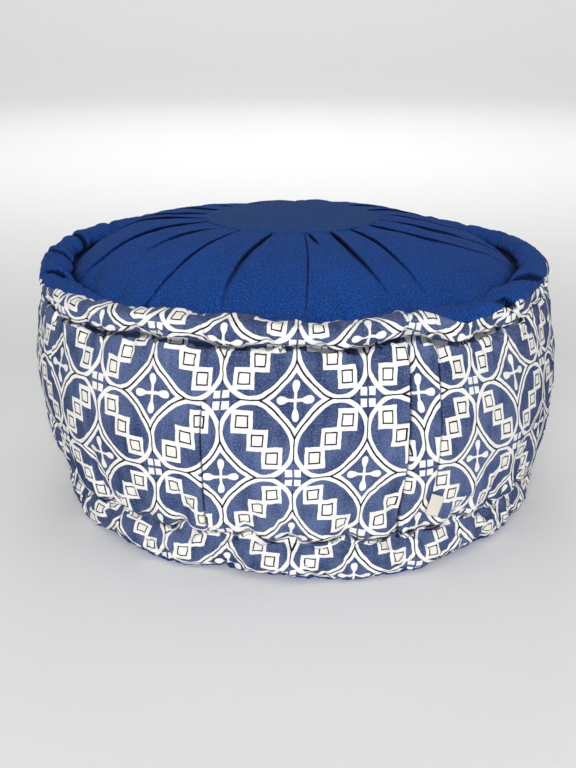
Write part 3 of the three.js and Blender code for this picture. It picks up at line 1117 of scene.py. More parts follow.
def dye_group() -> bpy.types.NodeTree:
    """Uneven dye and soft wear.

    Returns:
        A group that turns cloth coordinates into a mask about 0.5 that drifts over the cloth.
    """
    tree, s, start, end = new_group("uneven_dye", {"Cloth": VECTOR, "Drift": FLOAT}, {"Mask": FLOAT})
    cloth = start.outputs["Cloth"]
    broad = s.noise(cloth, 9.0, 3.0).outputs[0]
    close = s.noise(cloth, 70.0, 4.0).outputs[0]
    streak = s.noise(s.stretch(cloth, (160.0, 14.0, 1.0)), 1.0, 3.0).outputs[0]
    total = s.math("ADD", s.math("MULTIPLY", broad, 0.4), s.math("MULTIPLY", close, 0.35))
    total = s.math("ADD", total, s.math("MULTIPLY", streak, 0.25))
    swing = s.math("MULTIPLY", s.math("SUBTRACT", total, 0.5), start.outputs["Drift"])
    s.feed(end.inputs["Mask"], s.math("ADD", 0.5, swing))
    return tree


@dataclass(frozen=True)
class Motif:
    """Sizes of the printed repeat as shares of its pitch."""

    ring_long: float = 0.55
    ring_short: float = 0.41
    ring_power: float = 2.4
    ring_inner: float = 0.885
    line_outer: float = 1.058
    band_outer: float = 1.175
    between: float = 0.009
    square_step: tuple[float, float] = (0.21, 0.236)
    square_half: tuple[float, float] = (0.138, 0.143)
    outline: tuple[float, float] = (0.064, 0.084)
    petal_middle: float = 0.168
    petal_half: float = 0.084
    petal_start: float = 0.08
    petal_width: tuple[float, float] = (0.030, 0.20)
    stem_half: float = 0.019
    small_inner: tuple[float, float] = (0.014, 0.019)
    small_outer: tuple[float, float] = (0.112, 0.118)

    def ring_masks(
        self, s: Sketch, x: bpy.types.NodeSocket, y: bpy.types.NodeSocket
    ) -> tuple[bpy.types.NodeSocket, bpy.types.NodeSocket, bpy.types.NodeSocket]:
        """Rings and bands, with a chain of squares always along the same diagonal of each ring.

        Args:
            s: The group's sketch.
            x: Chart coordinate round the cushion.
            y: Chart coordinate up the cloth.

        Returns:
            Masks of the bare cloth, of the drawn lines and of the cream squares.
        """
        column, row = (s.math("FLOOR", s.math("ADD", v, 0.5)) for v in (x, y))
        parity = s.math("FLOORED_MODULO", s.math("ADD", column, row), 2.0)
        mirror = s.math("SUBTRACT", s.math("MULTIPLY", parity, 2.0), 1.0)
        lx = s.math("MULTIPLY", s.math("SUBTRACT", x, column), mirror)
        ly = s.math("SUBTRACT", y, row)
        long_axis = s.math("ABSOLUTE", s.math("MULTIPLY", s.math("ADD", lx, ly), math.sqrt(0.5)))
        short_axis = s.math("ABSOLUTE", s.math("MULTIPLY", s.math("SUBTRACT", lx, ly), math.sqrt(0.5)))
        powered = [
            s.math("POWER", s.math("DIVIDE", axis, size), self.ring_power)
            for axis, size in ((long_axis, self.ring_long), (short_axis, self.ring_short))
        ]
        around = s.math("POWER", s.math("ADD", *powered), 1.0 / self.ring_power)
        ring = s.inside(around, self.ring_inner, 1.0)
        crossward = s.math("GREATER_THAN", short_axis, long_axis)
        line = s.both(crossward, s.inside(around, 1.0, self.line_outer))
        edge = s.math("MAXIMUM", s.math("ABSOLUTE", lx), s.math("ABSOLUTE", ly))
        near_edge = s.math("GREATER_THAN", edge, 0.5 - self.between)
        touching = s.both(near_edge, s.math("LESS_THAN", around, self.line_outer))
        band = s.both(crossward, s.inside(around, self.line_outer, self.band_outer))
        frames: list[bpy.types.NodeSocket] = []
        outlines: list[bpy.types.NodeSocket] = []
        hearts: list[bpy.types.NodeSocket] = []
        for turn in (-1.0, 0.0, 1.0):
            dx = s.math("ABSOLUTE", s.math("SUBTRACT", lx, turn * self.square_step[0]))
            dy = s.math("ABSOLUTE", s.math("SUBTRACT", ly, turn * self.square_step[1]))
            frame_x = s.math("LESS_THAN", dx, self.square_half[0])
            frames.append(s.both(frame_x, s.math("LESS_THAN", dy, self.square_half[1])))
            reach = s.math("MAXIMUM", dx, dy)
            outlines.append(s.inside(reach, *self.outline))
            hearts.append(s.math("LESS_THAN", reach, self.outline[0]))
        frame, outline, heart = s.any(*frames), s.any(*outlines), s.any(*hearts)
        return s.any(ring, band, frame), s.any(line, touching, outline), heart

    def filler_mask(
        self, s: Sketch, x: bpy.types.NodeSocket, y: bpy.types.NodeSocket
    ) -> bpy.types.NodeSocket:
        """Between four rings, a petal cross or four small squares in turn.

        Args:
            s: The group's sketch.
            x: Chart coordinate round the cushion.
            y: Chart coordinate up the cloth.

        Returns:
            Mask of the bare cloth.
        """
        fx, fy = (s.math("SUBTRACT", s.math("FRACT", v), 0.5) for v in (x, y))
        ax, ay = s.math("ABSOLUTE", fx), s.math("ABSOLUTE", fy)
        turned = s.math("FLOORED_MODULO", s.math("ADD", s.math("FLOOR", x), s.math("FLOOR", y)), 2.0)
        is_cross = s.math("LESS_THAN", turned, 0.5)
        is_small = s.math("SUBTRACT", 1.0, is_cross)
        along, across = s.math("MAXIMUM", ax, ay), s.math("MINIMUM", ax, ay)
        from_middle = s.math("DIVIDE", s.math("SUBTRACT", along, self.petal_middle), self.petal_half)
        beyond = s.math("MAXIMUM", s.math("SUBTRACT", along, self.petal_start), 0.0)
        fat = s.math("ADD", self.petal_width[0], s.math("MULTIPLY", beyond, self.petal_width[1]))
        off = s.math("DIVIDE", across, fat)
        oval = s.math("ADD", s.math("MULTIPLY", from_middle, from_middle), s.math("MULTIPLY", off, off))
        petal = s.math("LESS_THAN", oval, 1.0)
        thin = s.math("LESS_THAN", across, self.stem_half)
        stem = s.both(thin, s.math("LESS_THAN", along, self.petal_middle))
        cross = s.both(is_cross, s.any(petal, stem))
        small = s.both(
            is_small,
            s.inside(ax, self.small_inner[0], self.small_outer[0]),
            s.inside(ay, self.small_inner[1], self.small_outer[1]),
        )
        return s.any(cross, small)


def print_group(motif: Motif) -> bpy.types.NodeTree:
    """The block print: rings with stepped squares, and petal crosses and small squares between them.

    Args:
        motif: Sizes of the repeat.

    Returns:
        A group that turns chart coordinates, one unit to a repeat, into masks for each ink.
    """
    tree, s, start, end = new_group(
        "ring_and_cross_print",
        {"Chart": VECTOR, "Wobble": FLOAT},
        {"Bare": FLOAT, "Line": FLOAT, "Cream": FLOAT},
    )
    chart = start.outputs["Chart"]
    moved = chart
    for scale, amount in ((1.7, 0.06), (9.0, 0.018)):
        sway = s.node("ShaderNodeVectorMath", operation="SUBTRACT")
        s.feed(sway.inputs[0], s.noise(chart, scale, 1.0).outputs["Color"])
        s.feed(sway.inputs[1], (0.5, 0.5, 0.5))
        sized = s.node("ShaderNodeVectorMath", operation="SCALE")
        s.feed(sized.inputs[0], sway.outputs[0])
        s.feed(sized.inputs["Scale"], s.math("MULTIPLY", start.outputs["Wobble"], amount))
        added = s.node("ShaderNodeVectorMath", operation="ADD")
        s.feed(added.inputs[0], moved)
        s.feed(added.inputs[1], sized.outputs[0])
        moved = added.outputs[0]
    split = s.node("ShaderNodeSeparateXYZ")
    s.feed(split.inputs[0], moved)
    x, y = split.outputs[0], split.outputs[1]

    ring, line, heart = motif.ring_masks(s, x, y)
    filler = motif.filler_mask(s, x, y)
    s.feed(end.inputs["Bare"], s.any(ring, filler))
    s.feed(end.inputs["Line"], line)
    s.feed(end.inputs["Cream"], heart)
    return tree


class Finishes:
    """The cushion's cloth materials, built over shared node groups."""

    def __init__(self) -> None:
        """Build the shared groups once."""
        self.weave = weave_group()
        self.dye = dye_group()
        self.motif = print_group(Motif())

    def place(self, sketch: Sketch, tree: bpy.types.NodeTree, **inputs: object) -> bpy.types.Node:
        """Put a group into a material with its own values."""
        made = sketch.node("ShaderNodeGroup")
        made.node_tree = tree
        for name, value in inputs.items():
            sketch.feed(made.inputs[name], value)
        return made

    def start(
        self, name: str, roughness: float, sheen: float
    ) -> tuple[bpy.types.Material, Sketch, bpy.types.Node]:
        """Start a cloth material with its plain values set.

        Args:
            name: The material's name.
            roughness: Of its surface.
            sheen: Weight of its soft fuzz.

        Returns:
            The material, its sketch and its Principled shader.
        """
        material = bpy.data.materials.new(name)
        material.use_nodes = True
        sketch = Sketch(material.node_tree)
        shader = material.node_tree.nodes["Principled BSDF"]
        shader.inputs["Roughness"].default_value = roughness
        shader.inputs["Specular IOR Level"].default_value = 0.04
        shader.inputs["Sheen Weight"].default_value = sheen
        shader.inputs["Sheen Roughness"].default_value = 0.6
        return material, sketch, shader

    def specked(
        self,
        sketch: Sketch,
        grain: bpy.types.NodeSocket,
        colour: bpy.types.NodeSocket,
        pale: tuple[float, ...],
        dark: tuple[float, ...],
        amounts: tuple[float, float],
    ) -> bpy.types.NodeSocket:
        """Lay a cloth's pale and dark specks over a colour.

        Args:
            sketch: The material's sketch.
            grain: Fine noise about 0.5.
            colour: What lies under them.
            pale: Colour of the specks where the noise is high.
            dark: Colour of the specks where it is low.
            amounts: How far each kind covers the colour.

        Returns:
            The specked colour.
        """
        made = sketch.mix(sketch.ease(grain, 0.50, 0.70, 0.0, amounts[0]), colour, (*pale, 1.0))
        return sketch.mix(sketch.ease(grain, 0.50, 0.30, 0.0, amounts[1]), made, (*dark, 1.0))

    def shaded(self, sketch: Sketch, colour: bpy.types.NodeSocket) -> bpy.types.NodeSocket:
        """Paint shade into a colour where the cloth is folded in: the colour itself is darkened in cracks,
        gullies and channels.

        Args:
            sketch: The material's sketch.
            colour: The open cloth's colour.

        Returns:
            The colour with the painted shade that the mesh's fold mask asks for.
        """
        fold = sketch.node("ShaderNodeAttribute", attribute_name="fold").outputs["Fac"]
        # Painted shade: the fold mask mixes the colour towards a dark blue-grey.
        painted_fold_shade = sketch.node("ShaderNodeMix", data_type="RGBA", blend_type="MULTIPLY")
        sketch.feed(painted_fold_shade.inputs[0], sketch.ease(fold, 0.15, 0.8, 0.0, 0.97))
        sketch.feed(painted_fold_shade.inputs[6], colour)
        sketch.feed(painted_fold_shade.inputs[7], (0.06, 0.07, 0.11, 1.0))
        return painted_fold_shade.outputs[2]

    def relief(
        self, sketch: Sketch, shader: bpy.types.Node, height: object, distance: float, strength: float
    ) -> None:
        """Feed a height to a shader's normal.

        Args:
            sketch: The material's sketch.
            shader: Its Principled shader.
            height: The weave's height.
            distance: How far one unit of height rises, in metres.
            strength: How much of it shows.
        """
        bump = sketch.node("ShaderNodeBump")
        bump.inputs["Strength"].default_value = strength
        bump.inputs["Distance"].default_value = distance
        sketch.feed(bump.inputs["Height"], height)
        sketch.feed(shader.inputs["Normal"], bump.outputs[0])


@dataclass(frozen=True)
class DyedCotton:
    """Plain dyed cotton: two shades between which the dye drifts, and its thread."""

    name: str
    deep: tuple[float, float, float]
    light: tuple[float, float, float]
    thread: float = 0.0007
    grain: float = 1000.0
    drift: float = 2.2
    sheen: float = 0.02

    def material(self, finishes: Finishes) -> bpy.types.Material:
        """Build the dyed cotton, with pale and dark specks of thread and painted shade in its folds.

        Args:
            finishes: The shared node groups.

        Returns:
            The material.
        """
        material, s, shader = finishes.start(self.name, 0.88, self.sheen)
        cloth = s.node("ShaderNodeUVMap", uv_map="cloth").outputs[0]
        weave = finishes.place(s, finishes.weave, Cloth=cloth, Thread=self.thread, Slub=1.6)
        dye = finishes.place(s, finishes.dye, Cloth=cloth, Drift=self.drift)
        base = s.mix(dye.outputs["Mask"], (*self.deep, 1.0), (*self.light, 1.0))
        speck = s.mix(s.ease(weave.outputs["Mask"], 0.35, 0.95, 0.0, 0.8), base, (*self.light, 1.0))
        grain = s.noise(cloth, self.grain, 2.0).outputs[0]
        pale = tuple(1.25 * value + 0.022 for value in self.light)
        dark = tuple(0.45 * value for value in self.deep)
        speck = finishes.specked(s, grain, speck, pale, dark, (0.75, 0.85))
        # Painted shade in the folds, from the mesh's fold mask.
        s.feed(shader.inputs["Base Color"], finishes.shaded(s, speck))
        finishes.relief(s, shader, weave.outputs["Height"], 0.00025, 0.45)
        return material


@dataclass(frozen=True)
class PrintedCotton:
    """White cotton with the blue ground printed round the bare motif, and dark drawn lines."""

    name: str = "printed_cotton"
    deep: tuple[float, float, float] = (0.034, 0.056, 0.144)
    light: tuple[float, float, float] = (0.108, 0.147, 0.286)
    line: tuple[float, float, float] = (0.020, 0.020, 0.040)
    bare: tuple[float, float, float] = (0.900, 0.885, 0.855)
    cream: tuple[float, float, float] = (0.900, 0.868, 0.812)
    pitch: float = 0.0448
    grain: float = 900.0

    def material(self, finishes: Finishes) -> bpy.types.Material:
        """Build the printed cotton from its inks, laid one over the other, and paint shade into its folds.

        Args:
            finishes: The shared node groups.

        Returns:
            The material.
        """
        material, s, shader = finishes.start(self.name, 0.86, 0.0)
        cloth = s.node("ShaderNodeUVMap", uv_map="cloth").outputs[0]
        weave = finishes.place(s, finishes.weave, Cloth=cloth, Thread=0.0007, Slub=1.2)
        dye = finishes.place(s, finishes.dye, Cloth=cloth, Drift=6.0)
        chart = s.stretch(cloth, (1.0 / self.pitch, 1.0 / self.pitch, 1.0))
        motif = finishes.place(s, finishes.motif, Chart=chart, Wobble=1.0)
        ground = s.mix(dye.outputs["Mask"], (*self.deep, 1.0), (*self.light, 1.0))
        grain = s.noise(cloth, self.grain, 2.0).outputs[0]
        pale = tuple(1.2 * value + 0.02 for value in self.light)
        dark = tuple(0.6 * value for value in self.deep)
        ground = finishes.specked(s, grain, ground, pale, dark, (0.6, 0.6))
        inked = s.mix(motif.outputs["Bare"], ground, (*self.bare, 1.0))
        inked = s.mix(motif.outputs["Cream"], inked, (*self.cream, 1.0))
        inked = s.mix(motif.outputs["Line"], inked, (*self.line, 1.0))
        # Painted shade in the folds, from the mesh's fold mask.
        s.feed(shader.inputs["Base Color"], finishes.shaded(s, inked))
        finishes.relief(s, shader, weave.outputs["Height"], 0.0002, 0.35)
        return material


@dataclass(frozen=True)
class TapeWeave:
    """Cream woven tape for the label."""

    name: str = "label_tape"
    colour: tuple[float, float, float] = (0.84, 0.80, 0.71)
    shade: tuple[float, float, float] = (0.66, 0.61, 0.52)

    def material(self, finishes: Finishes) -> bpy.types.Material:
        """Build the tape.

        Args:
            finishes: The shared node groups.

        Returns:
            The material.
        """
        material, s, shader = finishes.start(self.name, 0.7, 0.1)
        cloth = s.node("ShaderNodeUVMap", uv_map="cloth").outputs[0]
        weave = finishes.place(s, finishes.weave, Cloth=cloth, Thread=0.0004, Slub=0.8)
        dye = finishes.place(s, finishes.dye, Cloth=cloth, Drift=1.5)
        tone = s.mix(dye.outputs["Mask"], (*self.shade, 1.0), (*self.colour, 1.0))
        s.feed(shader.inputs["Base Color"], tone)
        finishes.relief(s, shader, weave.outputs["Height"], 0.0001, 0.4)
        return material


# The cushion's pieces


@dataclass
class TopPanel:
    """The pleated blue top, from under the patch over the crown and gully to the seam on the roll.

    Its mesh columns run along the pleats, so that their cracks stay sharp.
    """

    form: CushionForm
    shell: FilledShell
    roll_folds: Sequence[RollFold]
    crown_rows: int = 58
    roll_rows: int = 26
    columns_each: int = 44
    lobe_rise: float = 0.9
    gully_depth: float = 2.0
    creases: list[Crease] = field(default_factory=list)

    def lines(self, out: Array) -> Array:
        """Azimuths of all columns at shares of the way out, crowding at the pleats.

        Args:
            out: Rows by 1.

        Returns:
            Rows by columns.
        """
        marks = np.hstack([pleat.line(out) for pleat in PLEATS])
        marks = np.hstack([marks, marks[:, :1] + 360.0])
        share = np.arange(self.columns_each) / self.columns_each
        share = share - 0.62 * np.sin(2.0 * math.pi * share) / (2.0 * math.pi)
        gaps = np.diff(marks, axis=1)
        return (marks[:, :-1, None] + gaps[..., None] * share).reshape(len(out), -1)

    def pleated(self, azimuth: Array, out: Array) -> tuple[Array, Array, Array]:
        """Lift, sideways slide and mask of the shade painted in the pleats' cracks.

        Args:
            azimuth: Rows by columns, in degrees.
            out: Share of the way from patch to gully, rows by 1.

        Returns:
            Two distances in millimetres and the painted shade mask, rows by columns.
        """
        radius = self.form.patch_radius + out * (self.form.gully_radius - self.form.patch_radius)
        inside = np.clip(out, 0.0, 1.0)
        lift, slide, mask = (np.zeros(azimuth.shape) for _ in range(3))
        nearest = np.full(azimuth.shape, 1e9)
        for pleat in PLEATS:
            across = np.radians(apart(azimuth, pleat.line(inside))) * radius
            fade = np.clip(1.0 - inside / pleat.reach, 0.0, 1.0) ** 0.5
            width = pleat.crack * (0.8 + 0.2 * inside)
            lap = pleat.lap.value
            seen = math.sin(math.radians(pleat.middle)) ** 2
            # The third value is the mask of painted shade in and beside the crack.
            up, over, crack = lapped(across * (lap or 1), width, seen)
            lift += pleat.depth * fade * (up if lap else -crack)
            slide += pleat.depth * fade * over * lap
            mask = np.maximum(mask, crack * fade)
            nearest = np.minimum(nearest, np.abs(across))
        swell = self.lobe_rise * (1.0 - np.exp(-((nearest / 6.0) ** 2)))
        begin = smooth(out / 0.03 + 0.35)
        rise = np.maximum(lift + swell * (1.0 - 0.8 * inside), 0.0) * smooth(out / 0.24)
        return rise + np.minimum(lift, 0.0) * begin, slide * begin, mask * begin

    def build(self) -> bpy.types.Object:
        """Build the top's cloth from under the patch out to the seam.

        Returns:
            The piece.
        """
        form = self.form
        inner = np.array([8.0, 24.0, 42.0, 54.0])[:, None]
        steps = np.linspace(0.0, 1.0, self.crown_rows)[:, None]
        reach = form.gully_radius - form.patch_radius
        radius = np.vstack([inner, form.patch_radius - 2.0 + steps * (reach + 2.0)])
        out = (radius - form.patch_radius) / reach
        on_crown = len(radius)
        out = np.vstack([out, np.ones((self.roll_rows + 1, 1))])
        azimuth = self.lines(np.clip(out, 0.0, 1.0))
        radius = np.broadcast_to(radius, (on_crown, azimuth.shape[1]))
        height = form.crown(azimuth[:on_crown], radius)
        rim = azimuth[-1:]
        seam = form.seam_angle(rim)
        start = TOP_ROLL_ENDS[0]
        angle = start + (seam - start) * np.linspace(0.0, 1.0, self.roll_rows)[:, None]
        roll_radius, roll_height = form.on_top_roll(rim, angle)
        radius = np.vstack([radius, roll_radius, roll_radius[-1:] - 3.0])
        height = np.vstack([height, roll_height, roll_height[-1:] - 2.5])
        crown_mark = np.clip(out[:on_crown], 0.0, 1.0) + 0.0 * azimuth[:on_crown]
        mark = np.vstack([crown_mark, roll_mark(angle), roll_mark(seam)])
        base = form.place(azimuth, radius, height) + self.shell.at(mark, azimuth)
        # folds gathers the mask of shade painted into the cloth's colour: pleat cracks, roll folds and the
        # gully.
        lift, slide, folds = self.pleated(azimuth, out)
        onto_roll = np.where(np.arange(len(out))[:, None] < on_crown, 1.0, np.exp(-(mark - 1.0) / 0.12))
        lift, slide, folds = lift * onto_roll, slide * onto_roll, folds * onto_roll
        for fold in self.roll_folds:
            cut, crack = fold.cut(azimuth, mark)
            lift, folds = lift + cut, np.maximum(folds, crack)
        # The gully at the sides is cut deeper and also gets painted shade.
        gully = np.exp(-(((mark - 1.02) / 0.07) ** 2)) * smooth((off_front(azimuth) - 46.0) / 16.0)
        lift, folds = lift - self.gully_depth * gully, np.maximum(folds, 0.75 * gully)
        along = travelled(radius, height)
        for crease in self.creases:
            lift = lift + crease.cut(azimuth, along - along[on_crown - 1])
        lift = lift + 0.3 * soft_noise(azimuth / 9.0, along / 26.0, 11)
        lift[-1] = lift[-2]
        points = folded(base, azimuth, lift, slide)
        return cloth_mesh("top_cloth", points, plan_chart(points), closed_start=True, folds=folds)


@dataclass
class CentrePatch:
    """The round patch over the gathered middle of the top, its edge turned under."""

    form: CushionForm
    proud: float = 0.9
    rings: int = 30

    def build(self) -> bpy.types.Object:
        """Build the patch as one thin sheet that turns down at its edge.

        Returns:
            The piece.
        """
        form = self.form
        azimuth = AZIMUTHS[None, :]
        share = np.linspace(0.03, 1.0, self.rings)[:, None] ** 0.8
        wobble = 0.5 * soft_noise(azimuth / 24.0, azimuth * 0.0, 5)
        radius = share * (form.patch_radius + 0.6 + wobble)
        height = form.crown(azimuth, radius) + self.proud
        turn = np.radians(azimuth)
        height = height + 0.3 * soft_noise(radius * np.sin(turn) / 19.0, radius * np.cos(turn) / 19.0, 8)
        radius = np.vstack([radius, radius[-1:] + 0.35, radius[-1:] + 0.1])
        height = np.vstack([height, height[-1:] - 0.45, height[-1:] - 1.4])
        points = form.place(azimuth, radius, height)
        return cloth_mesh("patch_cloth", points, plan_chart(points), closed_start=True)


@dataclass
class SideBand:
    """The printed band: outer side of the top roll, drawn-in side with its tucks, and bottom roll."""

    form: CushionForm
    shell: FilledShell
    tucks: Sequence[Tuck]
    roll_folds: Sequence[RollFold]
    top_rows: int = 24
    side_rows: int = 76
    low_rows: int = 26
    channel: float = 2.2
    creases: list[Crease] = field(default_factory=list)
    # Azimuth and the number of the print column that lies there.
    columns_chart: tuple[tuple[float, float], ...] = (
        (-64.5, -4.0),
        (-50.2, -3.0),
        (-36.2, -2.0),
        (-21.9, -1.0),
        (-8.0, 0.0),
        (5.5, 1.0),
        (18.5, 2.0),
        (31.6, 3.0),
        (43.6, 4.0),
        (57.3, 5.0),
        (70.6, 6.0),
    )
    # Distance up from the bottom channel and the number of the print row there.
    rows_chart: tuple[tuple[float, float], ...] = (
        (-30.0, -2.5),
        (-26.5, -2.41),
        (-18.5, -2.2),
        (-10.0, -1.95),
        (-4.0, -1.75),
        (-1.5, -1.59),
        (2.9, -1.5),
        (48.5, -0.5),
        (98.3, 0.5),
        (146.7, 1.5),
    )
    # How far past the top channel that table's last row lies, round the cushion.
    roll_chart: tuple[tuple[float, float], ...] = (
        (-60, 6.5),
        (-36, 6.0),
        (-21, 7.0),
        (-8, 4.5),
        (1, 3.2),
        (12, 9.0),
        (24, 6.0),
        (60, 6.5),
    )
    # How much higher the rows lie round the cushion.
    drop_chart: tuple[tuple[float, float], ...] = (
        (-60, -3.5),
        (-36, -3.2),
        (-18, 1.0),
        (-4, 0.8),
        (12, 1.6),
        (30, -0.5),
        (57, -2.5),
        (180, 0.0),
    )
    side_pitch: float = 44.8
    roll_pitch: float = 48.4
    usual_column: float = 13.4

    def chart(self, azimuth: Array, from_low: Array, channel: Array) -> Array:
        """Cloth coordinates in metres.

        Args:
            azimuth: Edges round the cushion, first and last on the back seam.
            from_low: Distance up the section from the bottom channel, rows by edges.
            channel: The same distance at the top channel, one row.

        Returns:
            Rows by edges by 2.
        """
        marks = np.array(self.columns_chart)
        usual = self.usual_column
        lean = 1.2 * (from_low - 50.0) / 65.0
        seen = azimuth - lean
        column = np.interp(seen, marks[:, 0], marks[:, 1])
        column = np.where(seen < marks[0, 0], marks[0, 1] + (seen - marks[0, 0]) / usual, column)
        column = np.where(seen > marks[-1, 0], marks[-1, 1] + (seen - marks[-1, 0]) / usual, column)
        hidden = 0.27 * smooth((from_low - 30.0) / 85.0)
        column = column + np.where(azimuth > self.tucks[0].line(from_low), hidden, 0.0)
        risen = from_low - round_table(self.drop_chart, azimuth)
        heights, rows = np.array(self.rows_chart).T
        row = np.interp(risen, heights, rows)
        row = np.where(risen < heights[0], rows[0] + (risen - heights[0]) / self.side_pitch, row)
        over = from_low - channel
        on_roll = rows[-1] + (over - round_table(self.roll_chart, azimuth)) / self.roll_pitch
        row = np.where(over > 0.0, on_roll, row)
        pitch = PrintedCotton.pitch
        return np.stack([column * pitch, row * pitch], axis=-1)

    def build(self) -> bpy.types.Object:
        """Build the band's cloth from the seam down to the base.

        Returns:
            The piece.
        """
        form = self.form
        middles = [(tuck.top_azimuth + tuck.low_azimuth) / 2.0 for tuck in self.tucks]
        azimuth = crowded(middles, COLUMNS)[None, :]
        seam = form.seam_angle(azimuth)
        top_angle = seam + (TOP_ROLL_ENDS[1] - seam) * np.linspace(0.0, 1.0, self.top_rows)[:, None]
        top = form.on_top_roll(azimuth, top_angle)
        share = np.linspace(0.0, 1.0, self.side_rows)[:, None] + 0.0 * azimuth
        side = form.on_side(azimuth, share)
        start = LOW_ROLL_ENDS[0]
        turned = start + (form.low_roll.seam_angle - start) * np.linspace(0.0, 1.0, self.low_rows)[:, None]
        low_angle = turned + 0.0 * azimuth
        low = form.on_low_roll(azimuth, low_angle)
        radius = np.vstack([top[0][:1] - 3.0, top[0], side[0], low[0], low[0][-1:] - 4.0])
        height = np.vstack([top[1][:1] - 3.0, top[1], side[1], low[1], low[1][-1:] + 3.0])
        top_way, low_way = roll_mark(top_angle), low_mark(low_angle)
        mark = np.vstack([top_way[:1], top_way, 2.0 + share, low_way, low_way[-1:]])
        base = form.place(azimuth, radius, height) + self.shell.at(mark, azimuth)
        steps = np.hypot(np.diff(radius, axis=0), np.diff(height, axis=0))
        along = np.vstack([0.0 * azimuth, np.cumsum(steps, axis=0)])
        from_low = along[self.top_rows + self.side_rows] - along
        # folds gathers the mask of shade painted into the print: the two channels, the tucks and the roll
        # folds.
        lift, slide, folds = (np.zeros(radius.shape) for _ in range(3))
        top_channel, low_channel = 1 + self.top_rows, self.top_rows + self.side_rows
        # Each stitched channel is cut in and gets painted shade.
        for row, depth in ((top_channel, self.channel), (low_channel, 1.1 * self.channel)):
            dip = np.exp(-(((from_low - from_low[row]) / 2.0) ** 2))
            lift, folds = lift - depth * dip, np.maximum(folds, 0.7 * dip)
        for crease in self.creases:
            lift = lift + crease.cut(azimuth, from_low)
        for tuck in self.tucks:
            up, over, crack = tuck.fold(azimuth, from_low)
            lift, slide, folds = lift + up, slide + over, np.maximum(folds, crack)
        for fold in self.roll_folds:
            cut, crack = fold.cut(azimuth, mark)
            lift, folds = lift + cut, np.maximum(folds, crack)
        lift = lift + 0.5 * soft_noise(azimuth / 8.0, from_low / 30.0, 21)
        lift[0], lift[-1] = lift[1], lift[-2]
        points = folded(base, azimuth, lift, slide)
        points[..., 2] = np.maximum(points[..., 2], 0.0)
        edges = np.append(azimuth, 180.0)[None, :]
        risen = np.hstack([from_low, from_low[:, :1]])
        chart = self.chart(edges + 0.0 * risen, risen, risen[top_channel])
        return cloth_mesh("band_cloth", points, chart, folds=folds)


@dataclass
class BasePanel:
    """The plain underside with the inner side of the bottom roll, flat where it rests."""

    form: CushionForm
    shell: FilledShell
    roll_rows: int = 24
    creases: list[Crease] = field(default_factory=list)

    def build(self) -> bpy.types.Object:
        """Build the base's cloth from its middle out to the seam.

        Returns:
            The piece.
        """
        form = self.form
        azimuth = AZIMUTHS[None, :]
        flat = np.array([10.0, 50.0, 90.0, 120.0, 134.0, form.base_flat_radius])[:, None]
        rows = len(flat)
        start = LOW_ROLL_ENDS[1]
        angle = start + (form.low_roll.seam_angle - start) * np.linspace(0.0, 1.0, self.roll_rows)[:, None]
        angle = np.broadcast_to(angle, (self.roll_rows, COLUMNS))
        roll_radius, roll_height = form.on_low_roll(azimuth, angle)
        share = np.array([0.35, 0.7, 0.92])[:, None]
        gully_radius = form.base_flat_radius + (roll_radius[:1] - form.base_flat_radius) * share
        gully_height = roll_height[:1] * share**1.5
        flat_radius = np.broadcast_to(flat, (rows, COLUMNS))
        radius = np.vstack([flat_radius, gully_radius, roll_radius, roll_radius[-1:] - 3.0])
        height = np.vstack([np.zeros((rows, COLUMNS)), gully_height, roll_height, roll_height[-1:] + 4.0])
        flat_mark = np.full((rows, COLUMNS), 5.0)
        gully_mark = np.broadcast_to(5.0 - share, (len(share), COLUMNS))
        roll_way = low_mark(angle)
        mark = np.vstack([flat_mark, gully_mark, roll_way, roll_way[-1:]])
        points = form.place(azimuth, radius, height) + self.shell.at(mark, azimuth)
        points[..., 2] = np.maximum(points[..., 2], 0.0)
        along = travelled(radius, height)
        at_seam = float(along[-2, 0])
        relief = np.zeros(radius.shape)
        for crease in self.creases:
            relief = relief + crease.cut(azimuth, along - at_seam)
        relief[: rows + 1] = 0.0
        relief[-1] = 0.0
        points = points + outward(points) * relief[..., None]
        points[..., 2] = np.maximum(points[..., 2], 0.0)
        return cloth_mesh("base_cloth", points, plan_chart(points), closed_start=True)


